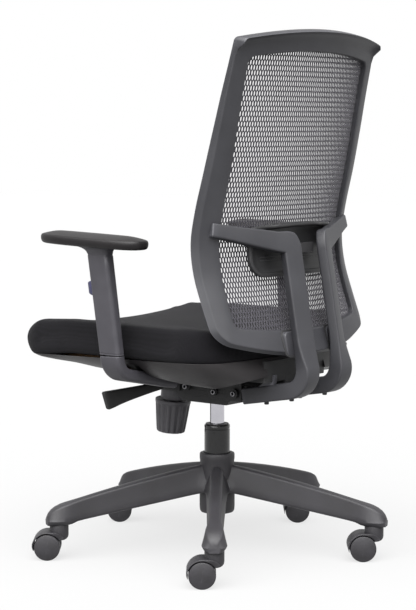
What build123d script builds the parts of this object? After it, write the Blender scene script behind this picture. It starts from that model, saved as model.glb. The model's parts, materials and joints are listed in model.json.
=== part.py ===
from build123d import *
import os
from math import atan2, cos, degrees, radians, sin, sqrt, tan

# Swivel office chair in millimetres.
# The origin is on the floor under the column, +Z is up, the chair faces -Y and the sitter's left is +X.

# Castors
caster_count = 5
wheel_diameter = 50.0
wheel_width = 19.0
wheel_dome = 2.5
wheel_edge = 3.0
wheel_bore_depth = 16.0
caster_trail = 22.0
caster_heading = -51.3
hood_web = 10.0
hood_wall = 2.5
hood_wheel_clearance = 1.5
hood_top = 62.0
hood_stem_diameter = 35.0
hood_stem_low = 36.0
hood_web_drop = 8.0
wheel_side_clearance = 0.6
stem_diameter = 11.0
stem_low = 44.0
stem_grip = 26.0
stem_end_gap = 1.0
axle_diameter = 8.0
running_clearance = 0.05

# Star base
stem_circle_radius = 316.0
base_turn = 37.5
leg_nose = 24.0
leg_neck_gap = 4.0
leg_tip_width = 47.0
leg_mid_width = 33.0
leg_root_width = 42.0
leg_tip_height = 38.0
leg_nose_height = 14.0
leg_socket_drop = 11.0
leg_root_low = 106.0
leg_root_high = 172.0
leg_waist_radius = 170.0
leg_top_bulge = 5.0
leg_under_arch = 17.0
hub_low = 72.0
hub_top = 190.0
hub_diameter = 68.0

# Gas lift
tube_diameter = 50.0
tube_wall = 2.0
tube_low = 80.0
tube_top = 245.0
tube_floor = 6.0
bush_length = 80.0
bush_flange = 2.0
bush_flange_diameter = 45.0
cylinder_diameter = 28.0
cylinder_wall = 2.0
cylinder_low = 132.0
cylinder_top = 325.0
cylinder_seal = 12.0
valve_length = 32.0
rod_diameter = 10.0
piston_low = 240.0
piston_height = 10.0
bearing_diameter = 34.0
bearing_height = 8.0
clip_diameter = 18.0
clip_height = 3.0
pin_diameter = 8.0
pin_length = 35.0
pin_stand = 12.5

# Tilt mechanism
housing_half_width = 50.0
housing_wall = 3.0
housing_front = -150.0
housing_rear = 78.0
housing_top = 342.0
housing_low = 293.0
housing_front_low = 310.0
socket_diameter = 44.0
socket_stand = 5.0
tilt_shaft_y = 37.0
tilt_shaft_z = 320.0
seat_shaft_y = -64.0
seat_shaft_z = 326.0
link_pin_y = 92.6
link_pin_z = 320.5
anchor_y = -32.0
anchor_z = 324.0
shaft_diameter = 12.0
link_pin_diameter = 10.0
shaft_head_diameter = 19.0
shaft_head_height = 4.0
anchor_head_height = 7.0
link_slot_length = 17.0
link_slot_play = 1.2
plate_gap = 2.0
bracket_plate = 5.0
carrier_plate = 4.0
carrier_half_width = 85.0
carrier_front = -140.0
carrier_rear = 140.0
carrier_lug_length = 30.0
carrier_tab_rear = 108.0
carrier_tab_front = 72.0
lug_drop = 14.0

# Tension knob
knob_y = -111.0
knob_tilt = 6.0
knob_low = 219.0
knob_top = 285.0
knob_rim_diameter = 71.0
knob_low_diameter = 57.0
knob_rib_count = 16
knob_rib_depth = 3.0
knob_rib_width = 6.0
knob_rim_band = 2.0
knob_neck_gap = 1.0
neck_diameter = 51.0
neck_wall = 3.0
screw_diameter = 10.0
spring_diameter = 34.0
spring_wall = 5.0
spring_stand = 22.0

# Levers
lever_y = -87.0
lever_z = 321.0
lever_rod_diameter = 8.0
lever_inner = 28.0
lever_paddle_root = 62.0
lever_tip = 236.0
lever_root_height = 15.0
lever_tip_height = 36.0
lever_tip_drop = 12.0
lever_paddle_thickness = 10.0
lever_rod_in_paddle = 40.0
lever_slot_height = 12.0
finger_gap = 0.5
finger_width = 14.0
finger_thickness = 6.0
finger_past_pin = 6.0

# Seat
seat_half_width = 243.0
seat_front = -297.0
seat_rear = 187.0
seat_rear_bow = 27.0
seat_front_radius = 38.0
seat_rear_radius = 58.0
seat_rim = 394.0
cushion_bulge_height = 22.0
cushion_shoulder_height = 44.0
cushion_brow_height = 58.0
cushion_crest_height = 72.0
cushion_bottom_inset = 9.0
cushion_bottom_front = 18.0
cushion_shoulder_inset = 3.0
cushion_shoulder_front = 11.0
cushion_brow_inset = 9.0
cushion_brow_front = 32.0
cushion_crest_inset = 20.0
cushion_crest_front = 64.0
dish_edge_height = 65.0
dish_depth = 20.0
dish_reach = 600.0
dish_lean = 1.2
board_thickness = 12.0
board_inset = 31.0
cushion_seat_gap = 0.2
cover_wall = 3.0
cover_rim_inset = 3.0
cover_front_inset = 14.0
cover_low = 352.0
cover_mid_height = 22.0
cover_mid_inset = 24.0
cover_low_inset = 72.0
cover_mid_front = 36.0
cover_low_front = 110.0
cover_rear_slope = 2.0
cover_mouth_half_width = 91.0
cover_mouth_front = -160.0
seat_bolt_diameter = 8.0
seat_bolt_head = 14.0
seat_bolt_head_height = 5.0
seat_bolt_grip = 10.0
carrier_bolt_x = 72.0
carrier_bolt_y = 105.0

# Arms
sleeve_x = 276.0
sleeve_y = -28.0
sleeve_low = 405.0
sleeve_length = 176.0
sleeve_width = 24.0
sleeve_depth = 50.0
sleeve_corner = 9.0
sleeve_lean_out = 4.0
sleeve_lean_front = 5.0
sleeve_wall = 4.0
sleeve_cap = 10.0
post_clearance = 0.2
post_front_room = 9.0
post_length = 160.0
flare_width = 54.0
flare_depth = 86.0
flare_corner = 16.0
pad_low = 600.0
pad_height = 25.0
pad_length = 234.0
pad_width = 80.0
pad_x = 283.0
pad_y = -68.0
pad_corner = 34.0
pad_top_edge = 9.0
pad_low_edge = 5.0
button_height = 24.0
button_width = 12.0
button_centre = 121.0
button_stand = 10.0
button_depth = 13.5
button_clearance = 0.2
elbow_radius = 22.0
elbow_drop = 34.0
bracket_depth = 42.0
bracket_inner = 97.0
bracket_inner_low = 330.0
bracket_bar_height = 20.0
foot_length = 52.0
bracket_gap = 3.0
arm_bolt_pitch = 26.0
arm_bolt_recess = 24.0

# Back frame and mesh
frame_top = 1000.0
frame_top_drop = 26.0
frame_top_half_width = 222.0
frame_mid_half_width = 228.5
frame_mid_height = 590.0
frame_low = 397.0
frame_low_rise = 7.0
frame_low_half_width = 221.0
frame_low_corner = 68.0
frame_top_corner = 9.0
frame_depth = 16.0
frame_edge_bow_y = -250.0
frame_edge_shift = 14.0
frame_edge_depth = 10.0
frame_rim_inset = 20.0
frame_reach = 64.0
band_reach = 1200.0
back_reach = 320.0
top_rail_height = 41.0
opening_top_drop = 14.0
opening_top_half_width = 185.0
low_rail_height = 49.0
opening_low_rise = 14.0
opening_low_half_width = 188.0
opening_top_corner = 14.0
opening_low_corner = 42.0
bow_axis_y = -460.0
bow_spread = 80.0
lip_reach = 16.0
lip_height = 10.0
lip_region = 70.0
mesh_thickness = 1.6
mesh_columns = 8
mesh_rows = 10
mesh_bar = 11.0
mesh_rim = 6.0
mesh_setback = 3.0
frame_profile = ((222, 430), (204, 498), (189, 556), (181.5, 612), (188, 668), (202, 742), (219, 820), (253, 945))
frame_profile_margin = 10.0

# Uprights
upright_inner = 38.0
upright_width = 37.0
upright_top = 621.0
upright_depth = 18.0
upright_top_y = 217.0
upright_heel_y = 269.0
upright_heel_z = 332.5
upright_heel_radius = 36.0
toe_y = 117.0
toe_low = 303.0
toe_height = 32.0
crook_radius = 28.0
arm_end_x = 214.0
arm_end_low = 624.0
arm_end_high = 649.0
arm_end_y = 154.0
arm_root_y = 221.0
arm_root_low = 592.0
arm_corner_radius = 14.0
mount_low = 404.0
mount_high = 443.0
mount_width = 33.0
mount_corner = 7.0
tongue_rear = 205.0
tongue_inset = 7.0
gusset_front = 152.0
gusset_rear = 194.0
gusset_top = 364.0
cross_bolt_diameter = 8.0
cross_bolt_cover = 6.0
cross_bolt_ys = (138.0, 180.0)

# Lumbar support
lumbar_half_width = 126.0
lumbar_low = 547.0
lumbar_high = 646.0
lumbar_arch = 7.0
lumbar_thickness = 5.0
lumbar_mesh_gap = 6.5
lumbar_arm_gap = 2.0
lumbar_corner = 30.0
lumbar_rim = 12.0
lumbar_rim_height = 5.0
lumbar_rib_count = 3
lumbar_rib_height = 3.0
lumbar_rib_reach = 3.0
lumbar_rib_pitch = 20.0
lumbar_travel = 20.0
guide_thickness = 5.0
guide_front = 196.0
guide_margin = 10.0
lumbar_stud_diameter = 12.0
lumbar_stud_z = 598.0
lumbar_stud_head = 20.0
lumbar_stud_head_height = 4.0
stud_clearance = 0.3

# Worked-out places
wheel_radius = wheel_diameter / 2
wheel_inner = hood_web / 2 + wheel_side_clearance
hood_inner_radius = wheel_radius + hood_wheel_clearance
hood_outer_radius = hood_inner_radius + hood_wall
hood_half_width = wheel_inner + wheel_width
leg_low = hood_top + leg_neck_gap
leg_tip_high = leg_low + leg_tip_height
leg_reach = stem_circle_radius + leg_nose
upright_outer = upright_inner + upright_width
opening_top = frame_top - top_rail_height
opening_low = frame_low + low_rail_height
frame_profile_reach_low = frame_low - frame_profile_margin
frame_profile_reach_top = frame_top + frame_profile_margin
board_low = seat_rim - board_thickness
carrier_top = board_low
bracket_inside = housing_half_width + plate_gap
bracket_outside = bracket_inside + bracket_plate
tab_inside = bracket_outside + plate_gap
pin_top = cylinder_top + pin_stand
socket_top = cylinder_top + socket_stand
finger_low = pin_top + finger_gap

parts = {}


def block(x0, x1, y0, y1, z0, z1):
    return Pos((x0 + x1) / 2, (y0 + y1) / 2, (z0 + z1) / 2) * Box(x1 - x0, y1 - y0, z1 - z0)


def post_z(diameter, low, high, x=0.0, y=0.0):
    return Pos(x, y, (low + high) / 2) * Cylinder(diameter / 2, high - low)


def rod_x(diameter, x0, x1, y, z):
    return Pos((x0 + x1) / 2, y, z) * Rot(0, 90, 0) * Cylinder(diameter / 2, x1 - x0)


def rod_y(diameter, y0, y1, x, z):
    return Pos(x, (y0 + y1) / 2, z) * Rot(90, 0, 0) * Cylinder(diameter / 2, y1 - y0)


def both_sides(solid):
    return solid + mirror(solid, Plane.YZ)


def side_plate(face, x0, x1):
    # A face drawn in Y and Z, filled from x0 to x1
    return extrude(Plane.YZ.offset(x0) * face, x1 - x0)


def front_plate(face, y0, y1):
    # A face drawn in X and Z, filled from y0 to y1
    return extrude(Plane.XZ.offset(-y1) * face, y1 - y0)


def polygon(*points):
    return make_face(Polyline(*points, close=True))


def nearest_corner(face, x, y):
    return face.vertices().sort_by_distance((x, y, 0))[0]


def round_corner(face, x, y, radius):
    return fillet([nearest_corner(face, x, y)], radius)


def save(name, shape):
    parts[name] = shape


# Castors, drawn with the stem on the origin and the wheel trailing along +X
def caster_hood():
    along_axle = Rot(90, 0, 0)
    wheel_place = Pos(caster_trail, 0, wheel_radius)
    fender = Cylinder(hood_outer_radius, 2 * hood_half_width)
    hood = wheel_place * along_axle * fender
    hood += post_z(hood_stem_diameter, hood_stem_low, hood_top)
    reach = caster_trail + hood_outer_radius
    upper = block(-hood_stem_diameter, reach, -hood_half_width, hood_half_width, wheel_radius, hood_top)
    hood &= upper
    hollow = wheel_place * along_axle * Cylinder(hood_inner_radius, 2 * hood_half_width)
    web = wheel_place * along_axle * Cylinder(hood_inner_radius, hood_web)
    web -= block(-hood_stem_diameter, reach, -hood_web, hood_web, -wheel_radius, wheel_radius - hood_web_drop)
    hood = hood - hollow + web
    hood -= wheel_place * along_axle * Cylinder(axle_diameter / 2, hood_web)
    return hood - post_z(stem_diameter, stem_low, hood_top)


def caster_pins():
    stem = post_z(stem_diameter, stem_low, leg_low + stem_grip)
    axle_length = 2 * (wheel_inner + wheel_bore_depth - wheel_side_clearance)
    axle = rod_y(axle_diameter, -axle_length / 2, axle_length / 2, caster_trail, wheel_radius)
    return [stem, axle]


def caster_wheel():
    # Section in radius and width, turned about the axle
    bore = axle_diameter / 2 + running_clearance
    rim = wheel_radius - wheel_edge
    edge_mid = wheel_edge * (1 - 1 / sqrt(2))
    tread = wheel_width - wheel_edge
    outline = Polyline((0, wheel_bore_depth), (bore, wheel_bore_depth), (bore, 0), (rim, 0))
    outline += ThreePointArc((rim, 0), (wheel_radius - edge_mid, edge_mid), (wheel_radius, wheel_edge))
    outline += Line((wheel_radius, wheel_edge), (wheel_radius, tread))
    shoulder = (wheel_radius - edge_mid, wheel_width - edge_mid)
    outline += ThreePointArc((wheel_radius, tread), shoulder, (rim, wheel_width))
    crown = wheel_width + wheel_dome
    outline += Polyline((rim, wheel_width), (rim, crown), (0, crown), (0, wheel_bore_depth))
    wheel = revolve(Plane.XZ * make_face(outline), Axis.Z)
    dome_radius = (rim ** 2 + wheel_dome ** 2) / (2 * wheel_dome)
    wheel &= Pos(0, 0, crown - dome_radius) * Sphere(dome_radius)
    return Pos(caster_trail, wheel_inner, wheel_radius) * Rot(-90, 0, 0) * wheel


def make_casters():
    hood = caster_hood()
    pins = caster_pins()
    wheel = caster_wheel()
    for number in range(caster_count):
        turn = radians(base_turn + number * 360 / caster_count)
        stem_x = stem_circle_radius * cos(turn)
        stem_y = stem_circle_radius * sin(turn)
        place = Pos(stem_x, stem_y, 0) * Rot(0, 0, caster_heading)
        save(f"caster_hood_{number + 1}", place * hood)
        save(f"caster_pins_{number + 1}", Compound([place * pin for pin in pins]))
        save(f"caster_wheel_{number + 1}_left", place * wheel)
        save(f"caster_wheel_{number + 1}_right", place * mirror(wheel, Plane.XZ))


# Star base
def base_leg():
    tip_centre = leg_reach - leg_tip_width / 2
    root = leg_root_width / 2
    waist = leg_mid_width / 2
    tip = leg_tip_width / 2
    plan = Line((0, -root), (0, root))
    plan += Spline((0, root), (leg_waist_radius, waist), (tip_centre, tip), tangents=((1, 0), (1, 0)))
    plan += ThreePointArc((tip_centre, tip), (leg_reach, 0), (tip_centre, -tip))
    plan += Spline((tip_centre, -tip), (leg_waist_radius, -waist), (0, -root), tangents=((-1, 0), (-1, 0)))
    footprint = extrude(make_face(plan), leg_root_high)
    socket_start = stem_circle_radius - leg_tip_width / 2
    top_mid = (leg_root_high + leg_tip_high) / 2 + leg_top_bulge
    low_mid = (leg_root_low + leg_low) / 2 + leg_under_arch
    side = ThreePointArc((0, leg_root_high), (stem_circle_radius / 2, top_mid), (stem_circle_radius, leg_tip_high))
    nose_low = leg_low + leg_nose_height
    nose_mid_x = stem_circle_radius + (leg_reach - stem_circle_radius) / sqrt(2)
    nose_mid_z = nose_low + (leg_tip_high - nose_low) / sqrt(2)
    side += ThreePointArc((stem_circle_radius, leg_tip_high), (nose_mid_x, nose_mid_z), (leg_reach, nose_low))
    leg_end_low = leg_low + leg_socket_drop
    side += Polyline((leg_reach, nose_low), (leg_reach, leg_low), (socket_start, leg_low), (socket_start, leg_end_low))
    side += ThreePointArc((socket_start, leg_end_low), (socket_start / 2, low_mid), (0, leg_root_low))
    side += Line((0, leg_root_low), (0, leg_root_high))
    return footprint & front_plate(make_face(side), -leg_tip_width, leg_tip_width)


def make_base():
    leg = base_leg()
    leg -= post_z(stem_diameter + 2 * running_clearance, 0, leg_low + stem_grip + stem_end_gap, stem_circle_radius)
    base = post_z(hub_diameter, hub_low, hub_top)
    for number in range(caster_count):
        base += Rot(0, 0, base_turn + number * 360 / caster_count) * leg
    base -= post_z(tube_diameter, 0, hub_top)
    save("star_base", base)


# Gas lift
def make_lift():
    tube_inside = tube_diameter - 2 * tube_wall
    tube = post_z(tube_diameter, tube_low, tube_top)
    tube -= post_z(tube_inside, tube_low + tube_floor, tube_top)
    tube -= post_z(rod_diameter + 2 * running_clearance, tube_low, tube_top)
    save("lift_outer_tube", tube)
    bush = post_z(tube_inside, tube_top - bush_length, tube_top)
    bush += post_z(bush_flange_diameter, tube_top, tube_top + bush_flange)
    bush -= post_z(cylinder_diameter + 2 * running_clearance, tube_low, tube_top + bush_flange)
    save("lift_guide_bush", bush)
    bore = cylinder_diameter - 2 * cylinder_wall
    cylinder = post_z(cylinder_diameter, cylinder_low, cylinder_top)
    cylinder -= post_z(bore, cylinder_low + cylinder_seal, cylinder_top - valve_length)
    cylinder -= post_z(rod_diameter + 2 * running_clearance, cylinder_low, cylinder_low + cylinder_seal)
    cylinder -= post_z(pin_diameter + 2 * running_clearance, cylinder_top - valve_length, cylinder_top)
    save("lift_cylinder", cylinder)
    rod = post_z(rod_diameter, tube_low - clip_height, piston_low)
    rod += post_z(bore - 2 * running_clearance, piston_low, piston_low + piston_height)
    save("lift_piston_rod", rod)
    floor_top = tube_low + tube_floor
    bearing = post_z(bearing_diameter, floor_top, floor_top + bearing_height)
    save("lift_thrust_bearing", bearing - post_z(rod_diameter, floor_top, floor_top + bearing_height))
    clip = post_z(clip_diameter, tube_low - clip_height, tube_low)
    save("lift_retaining_clip", clip - post_z(rod_diameter, tube_low - clip_height, tube_low))
    save("lift_release_pin", post_z(pin_diameter, pin_top - pin_length, pin_top))


# Tilt mechanism
def knob_frame():
    # Height along this leaning axis is measured from the knob's top rim
    return Pos(0, knob_y, knob_top) * Rot(-knob_tilt, 0, 0)


def housing_side(inset, top):
    ramp = housing_front_low - housing_low
    front = housing_front + inset
    rear = housing_rear - inset
    ramp_front = seat_shaft_y
    return polygon(
        (front, top),
        (front, housing_front_low + inset + ramp / 2),
        (front + ramp / 2, housing_front_low + inset),
        (ramp_front, housing_front_low + inset),
        (ramp_front + ramp, housing_low + inset),
        (rear - ramp, housing_low + inset),
        (rear, housing_low + ramp + inset),
        (rear, top),
    )


def make_housing():
    inner_half = housing_half_width - housing_wall
    housing = side_plate(housing_side(0, housing_top), -housing_half_width, housing_half_width)
    housing -= side_plate(housing_side(housing_wall, housing_top + housing_wall), -inner_half, inner_half)
    socket = post_z(socket_diameter, housing_low, socket_top)
    housing += socket
    housing -= post_z(cylinder_diameter, housing_low, socket_top)
    seat_shaft_hole = rod_x(shaft_diameter, -housing_half_width, housing_half_width, seat_shaft_y, seat_shaft_z)
    tilt_shaft_hole = rod_x(shaft_diameter, -housing_half_width, housing_half_width, tilt_shaft_y, tilt_shaft_z)
    rod_hole = lever_rod_diameter + 2 * running_clearance
    anchor_hole = rod_x(shaft_diameter, -housing_half_width, housing_half_width, anchor_y, anchor_z)
    housing -= [seat_shaft_hole, tilt_shaft_hole, anchor_hole]
    housing -= rod_x(rod_hole, 0, housing_half_width, lever_y, lever_z)
    slot_half = rod_hole / 2
    slot_top = lever_z + lever_slot_height / 2
    slot_low = lever_z - lever_slot_height / 2
    housing -= block(-housing_half_width, 0, lever_y - slot_half, lever_y + slot_half, slot_low, slot_top)
    spring_room = neck_diameter - 2 * neck_wall
    return housing - knob_frame() * post_z(spring_room, 0, housing_front_low - knob_top + spring_room / 2)


def shaft(diameter, end, head_height, y, z):
    # A rod across the mechanism with a head on each end
    head = rod_x(shaft_head_diameter, end, end + head_height, y, z)
    return rod_x(diameter, -end, end, y, z) + both_sides(head)


def make_shafts():
    lug_outside = bracket_inside + carrier_plate
    shafts = [
        shaft(shaft_diameter, lug_outside, shaft_head_height, seat_shaft_y, seat_shaft_z),
        shaft(shaft_diameter, bracket_outside, shaft_head_height, tilt_shaft_y, tilt_shaft_z),
        shaft(shaft_diameter, housing_half_width, anchor_head_height, anchor_y, anchor_z),
    ]
    save("pivot_shafts", Compound(shafts))
    link_end = tab_inside + carrier_plate + plate_gap
    save("link_pin", shaft(link_pin_diameter, link_end, shaft_head_height, link_pin_y, link_pin_z))


def make_tension():
    place = knob_frame()
    knob_height = knob_top - knob_low
    profile = polygon((0, 0), (knob_rim_diameter / 2, 0), (knob_low_diameter / 2, -knob_height), (0, -knob_height))
    knob = revolve(Plane.XZ * profile, Axis.Z)
    groove_lean = degrees(atan2((knob_rim_diameter - knob_low_diameter) / 2, knob_height))
    groove = Box(2 * knob_rib_depth, knob_rib_width, 2 * (knob_height - knob_rim_band))
    for number in range(knob_rib_count):
        turn = Rot(0, 0, number * 360 / knob_rib_count)
        knob -= turn * Pos(knob_low_diameter / 2, 0, -knob_height) * Rot(0, groove_lean, 0) * groove
    knob -= post_z(screw_diameter, -knob_height / 2, 0)
    save("tension_knob", place * knob)
    neck_length = housing_front_low - knob_top
    neck = post_z(neck_diameter, knob_neck_gap, neck_length + neck_diameter)
    neck -= post_z(neck_diameter - 2 * neck_wall, knob_neck_gap + neck_wall, neck_length + neck_diameter)
    neck -= post_z(screw_diameter + 2 * running_clearance, 0, neck_length)
    above = block(-neck_diameter, neck_diameter, 2 * knob_y, 0, housing_front_low, housing_top + neck_diameter)
    save("tension_cup", place * neck - above)
    return place


def make_mechanism():
    housing = make_housing()
    place = make_tension()
    make_shafts()
    neck_length = housing_front_low - knob_top
    knob_height = knob_top - knob_low
    spring_top = neck_length + spring_stand
    screw = place * post_z(screw_diameter, -knob_height / 2, spring_top)
    save("tension_screw", screw)
    spring_low = knob_neck_gap + neck_wall
    spring = post_z(spring_diameter, spring_low, spring_top)
    spring -= post_z(spring_diameter - 2 * spring_wall, spring_low, spring_top)
    save("tilt_spring", place * spring)
    save("mechanism_housing", housing)


def make_carrier():
    plate_low = carrier_top - carrier_plate
    carrier = block(-carrier_half_width, carrier_half_width, carrier_front, carrier_rear, plate_low, carrier_top)
    lug_front = seat_shaft_y - carrier_lug_length / 2
    lug_rear = seat_shaft_y + carrier_lug_length / 2
    lug_low = seat_shaft_z - lug_drop
    lug_outside = bracket_inside + carrier_plate
    lug = block(bracket_inside, lug_outside, lug_front, lug_rear, lug_low, plate_low)
    lug -= rod_x(shaft_diameter + 2 * running_clearance, 0, lug_outside, seat_shaft_y, seat_shaft_z)
    tab_low = link_pin_z - lug_drop
    tab_outside = tab_inside + carrier_plate
    tab = block(tab_inside, tab_outside, carrier_tab_front, carrier_tab_rear, tab_low, plate_low)
    slot_half = link_slot_length / 2
    slot_rise = link_pin_diameter / 2 + link_slot_play
    slot_low = link_pin_z - slot_rise
    slot_high = link_pin_z + slot_rise
    slot_front = link_pin_y - slot_half
    tab -= block(tab_inside, tab_outside, slot_front, link_pin_y + slot_half, slot_low, slot_high)
    carrier += both_sides(lug + tab)
    return carrier - seat_bolt_holes()


# Levers
def lever_paddle(side):
    top_root = lever_z + lever_root_height / 2
    low_root = lever_z - lever_root_height / 2
    top_tip = lever_z + lever_tip_height / 2 - lever_tip_drop
    low_tip = top_tip - lever_tip_height
    root = side * lever_paddle_root
    tip = side * lever_tip
    shape = polygon((root, low_root), (tip, low_tip), (tip, top_tip), (root, top_root))
    half = lever_paddle_thickness / 2
    paddle = front_plate(shape, lever_y - half, lever_y + half)
    bore_end = lever_paddle_root + lever_rod_in_paddle
    x0, x1 = sorted((0, side * bore_end))
    return paddle - rod_x(lever_rod_diameter, x0, x1, lever_y, lever_z)


def make_levers():
    bore_end = lever_paddle_root + lever_rod_in_paddle
    lock_rod = rod_x(lever_rod_diameter, lever_inner, bore_end, lever_y, lever_z)
    save("lock_lever", Compound([lock_rod, lever_paddle(1)]))
    rod = rod_x(lever_rod_diameter, -bore_end, -lever_inner + finger_width, lever_y, lever_z)
    half = lever_rod_diameter / 2
    finger_high = finger_low + finger_thickness
    riser_x0 = -lever_inner
    riser_x1 = riser_x0 + finger_width
    riser = block(riser_x0, riser_x1, lever_y - half, lever_y + half, lever_z, finger_high)
    reach = finger_past_pin + pin_diameter / 2
    finger = block(riser_x0, riser_x1, lever_y - half, reach, finger_low, finger_high)
    nose = block(riser_x0, reach, -reach, reach, finger_low, finger_high)
    save("height_lever", Compound([rod + riser + finger + nose, lever_paddle(-1)]))


# Seat
def seat_outline(inset, front_inset, rear_inset, height):
    half = seat_half_width - inset
    front = seat_front + front_inset
    rear = seat_rear - rear_inset
    corner = rear - seat_rear_bow
    outline = Polyline((-half, corner), (-half, front), (half, front), (half, corner))
    outline += ThreePointArc((half, corner), (0, rear), (-half, corner))
    face = make_face(outline)
    face = round_corner(face, half, front, seat_front_radius)
    face = round_corner(face, -half, front, seat_front_radius)
    face = round_corner(face, half, corner, seat_rear_radius)
    face = round_corner(face, -half, corner, seat_rear_radius)
    return Pos(0, 0, height) * face


def seat_dish():
    # The hollow of the sitting surface, a broad trough that leans down to the front
    edge = seat_rim + dish_edge_height
    above = edge + cushion_crest_height
    half = seat_half_width
    trough = ThreePointArc((-half, edge), (0, edge - dish_depth), (half, edge))
    trough += Polyline((half, edge), (half, above), (-half, above), (-half, edge))
    room = front_plate(make_face(trough), -dish_reach, dish_reach)
    return Pos(0, 0, edge) * Rot(dish_lean, 0, 0) * Pos(0, 0, -edge) * room


def make_cushion():
    levels = (
        seat_outline(cushion_bottom_inset, cushion_bottom_front, cushion_bottom_inset, seat_rim + cushion_seat_gap),
        seat_outline(0, 0, 0, seat_rim + cushion_bulge_height),
        seat_outline(cushion_shoulder_inset, cushion_shoulder_front, cushion_shoulder_inset,
                     seat_rim + cushion_shoulder_height),
        seat_outline(cushion_brow_inset, cushion_brow_front, cushion_brow_inset, seat_rim + cushion_brow_height),
        seat_outline(cushion_crest_inset, cushion_crest_front, cushion_crest_inset, seat_rim + cushion_crest_height),
    )
    return loft(levels) - seat_dish()


def cover_levels(wall, rise):
    # Rim, middle and bottom outlines, shrunk by a wall and lifted by a rise
    rear = cover_rim_inset + wall
    mid_height = cover_low + cover_mid_height + rise
    return (
        seat_outline(cover_rim_inset + wall, cover_front_inset + wall, rear, seat_rim),
        seat_outline(cover_mid_inset + wall, cover_mid_front + cover_front_inset + wall, rear + cover_rear_slope,
                     mid_height),
        seat_outline(cover_low_inset + wall, cover_low_front + wall, rear + 2 * cover_rear_slope, cover_low + rise),
    )


def arm_mouth():
    # Room for an arm's bracket through the cover
    half = bracket_depth / 2 + bracket_gap
    x1 = seat_half_width + bracket_gap
    return block(0, x1, sleeve_y - half, sleeve_y + half, 0, seat_rim - board_thickness)


def make_cover():
    cover = loft(cover_levels(0, 0))
    cover -= loft(cover_levels(cover_wall, cover_wall))
    mouth_half = cover_mouth_half_width
    mouth = block(-mouth_half, mouth_half, cover_mouth_front, seat_rear, 0, seat_rim - board_thickness)
    return cover - mouth - both_sides(arm_mouth())


def bolt_places():
    return [(x, y) for x in (-carrier_bolt_x, carrier_bolt_x) for y in (-carrier_bolt_y, carrier_bolt_y)]


def arm_bolt_places():
    middle = bracket_inner + foot_length / 2
    half = arm_bolt_pitch / 2
    return [(side * middle, sleeve_y + offset) for side in (-1, 1) for offset in (-half, half)]


def seat_bolt_holes():
    tip = board_low + seat_bolt_grip
    holes = Part()
    for x, y in bolt_places() + arm_bolt_places():
        holes += post_z(seat_bolt_diameter, bracket_inner_low, tip, x, y)
    return holes


def make_seat_bolts():
    tip = board_low + seat_bolt_grip
    bolts = []
    for x, y in bolt_places():
        seat = carrier_top - carrier_plate
        bolt = post_z(seat_bolt_diameter, seat, tip, x, y)
        bolts.append(bolt + post_z(seat_bolt_head, seat - seat_bolt_head_height, seat, x, y))
    for x, y in arm_bolt_places():
        seat = bracket_inner_low + arm_bolt_recess
        bolt = post_z(seat_bolt_diameter, seat, tip, x, y)
        bolts.append(bolt + post_z(seat_bolt_head, seat - seat_bolt_head_height, seat, x, y))
    return Compound(bolts)


def make_seat():
    save("seat_carrier", make_carrier())
    board = extrude(seat_outline(board_inset, board_inset + cover_front_inset, board_inset, board_low), board_thickness)
    save("seat_board", board - seat_bolt_holes())
    save("seat_cushion", make_cushion())
    save("seat_cover", make_cover())
    save("seat_bolts", make_seat_bolts())


# Arms, drawn for the sitter's left and mirrored
def sleeve_plane():
    # Its Z runs up the leaning sleeve and its Y to the rear
    up = Vector(tan(radians(sleeve_lean_out)), -tan(radians(sleeve_lean_front)), 1)
    across = Vector(0, 1, 0).cross(up)
    return Plane(origin=(sleeve_x, sleeve_y, sleeve_low), x_dir=across, z_dir=up)


def sleeve_bar(width, depth, corner, low, high, shift=0.0):
    section = Pos(0, shift, low) * RectangleRounded(width, depth, corner)
    return sleeve_plane() * extrude(section, high - low)


def make_arm(name):
    cavity_width = sleeve_width - 2 * sleeve_wall
    cavity_depth = sleeve_depth - 2 * sleeve_wall
    cavity_corner = sleeve_corner - sleeve_wall
    sleeve = sleeve_bar(sleeve_width, sleeve_depth, sleeve_corner, 0, sleeve_length)
    top_section = sleeve_plane() * Pos(0, 0, sleeve_length) * RectangleRounded(sleeve_width, sleeve_depth, sleeve_corner)
    lean_shift = tan(radians(sleeve_lean_front)) * (pad_low - sleeve_low)
    flare_place = Pos(pad_x, sleeve_y - lean_shift, pad_low)
    flare_section = flare_place * RectangleRounded(flare_width, flare_depth, flare_corner)
    sleeve += loft([top_section, flare_section])
    sleeve -= sleeve_bar(cavity_width, cavity_depth, cavity_corner, 0, sleeve_length - sleeve_cap)
    button_front = -sleeve_depth / 2 - button_stand
    button_mid = button_front + button_depth / 2
    button = Pos(0, button_mid, button_centre) * Box(button_width, button_depth, button_height)
    hole_width = button_width + 2 * button_clearance
    hole_height = button_height + 2 * button_clearance
    hole = Pos(0, -sleeve_depth / 2, button_centre) * Box(hole_width, 2 * sleeve_corner, hole_height)
    save(f"arm_sleeve_{name}", sleeve - sleeve_plane() * hole)
    save(f"arm_button_{name}", sleeve_plane() * button)
    save(f"arm_pad_{name}", make_arm_pad())
    save(f"arm_bracket_{name}", make_arm_bracket(cavity_width, cavity_depth, cavity_corner))


def make_arm_pad():
    plan = Pos(pad_x, pad_y, pad_low) * RectangleRounded(pad_width, pad_length, pad_corner)
    pad = extrude(plan, pad_height)
    pad = fillet(pad.faces().sort_by(Axis.Z)[-1].edges(), pad_top_edge)
    return fillet(pad.faces().sort_by(Axis.Z)[0].edges(), pad_low_edge)


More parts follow.
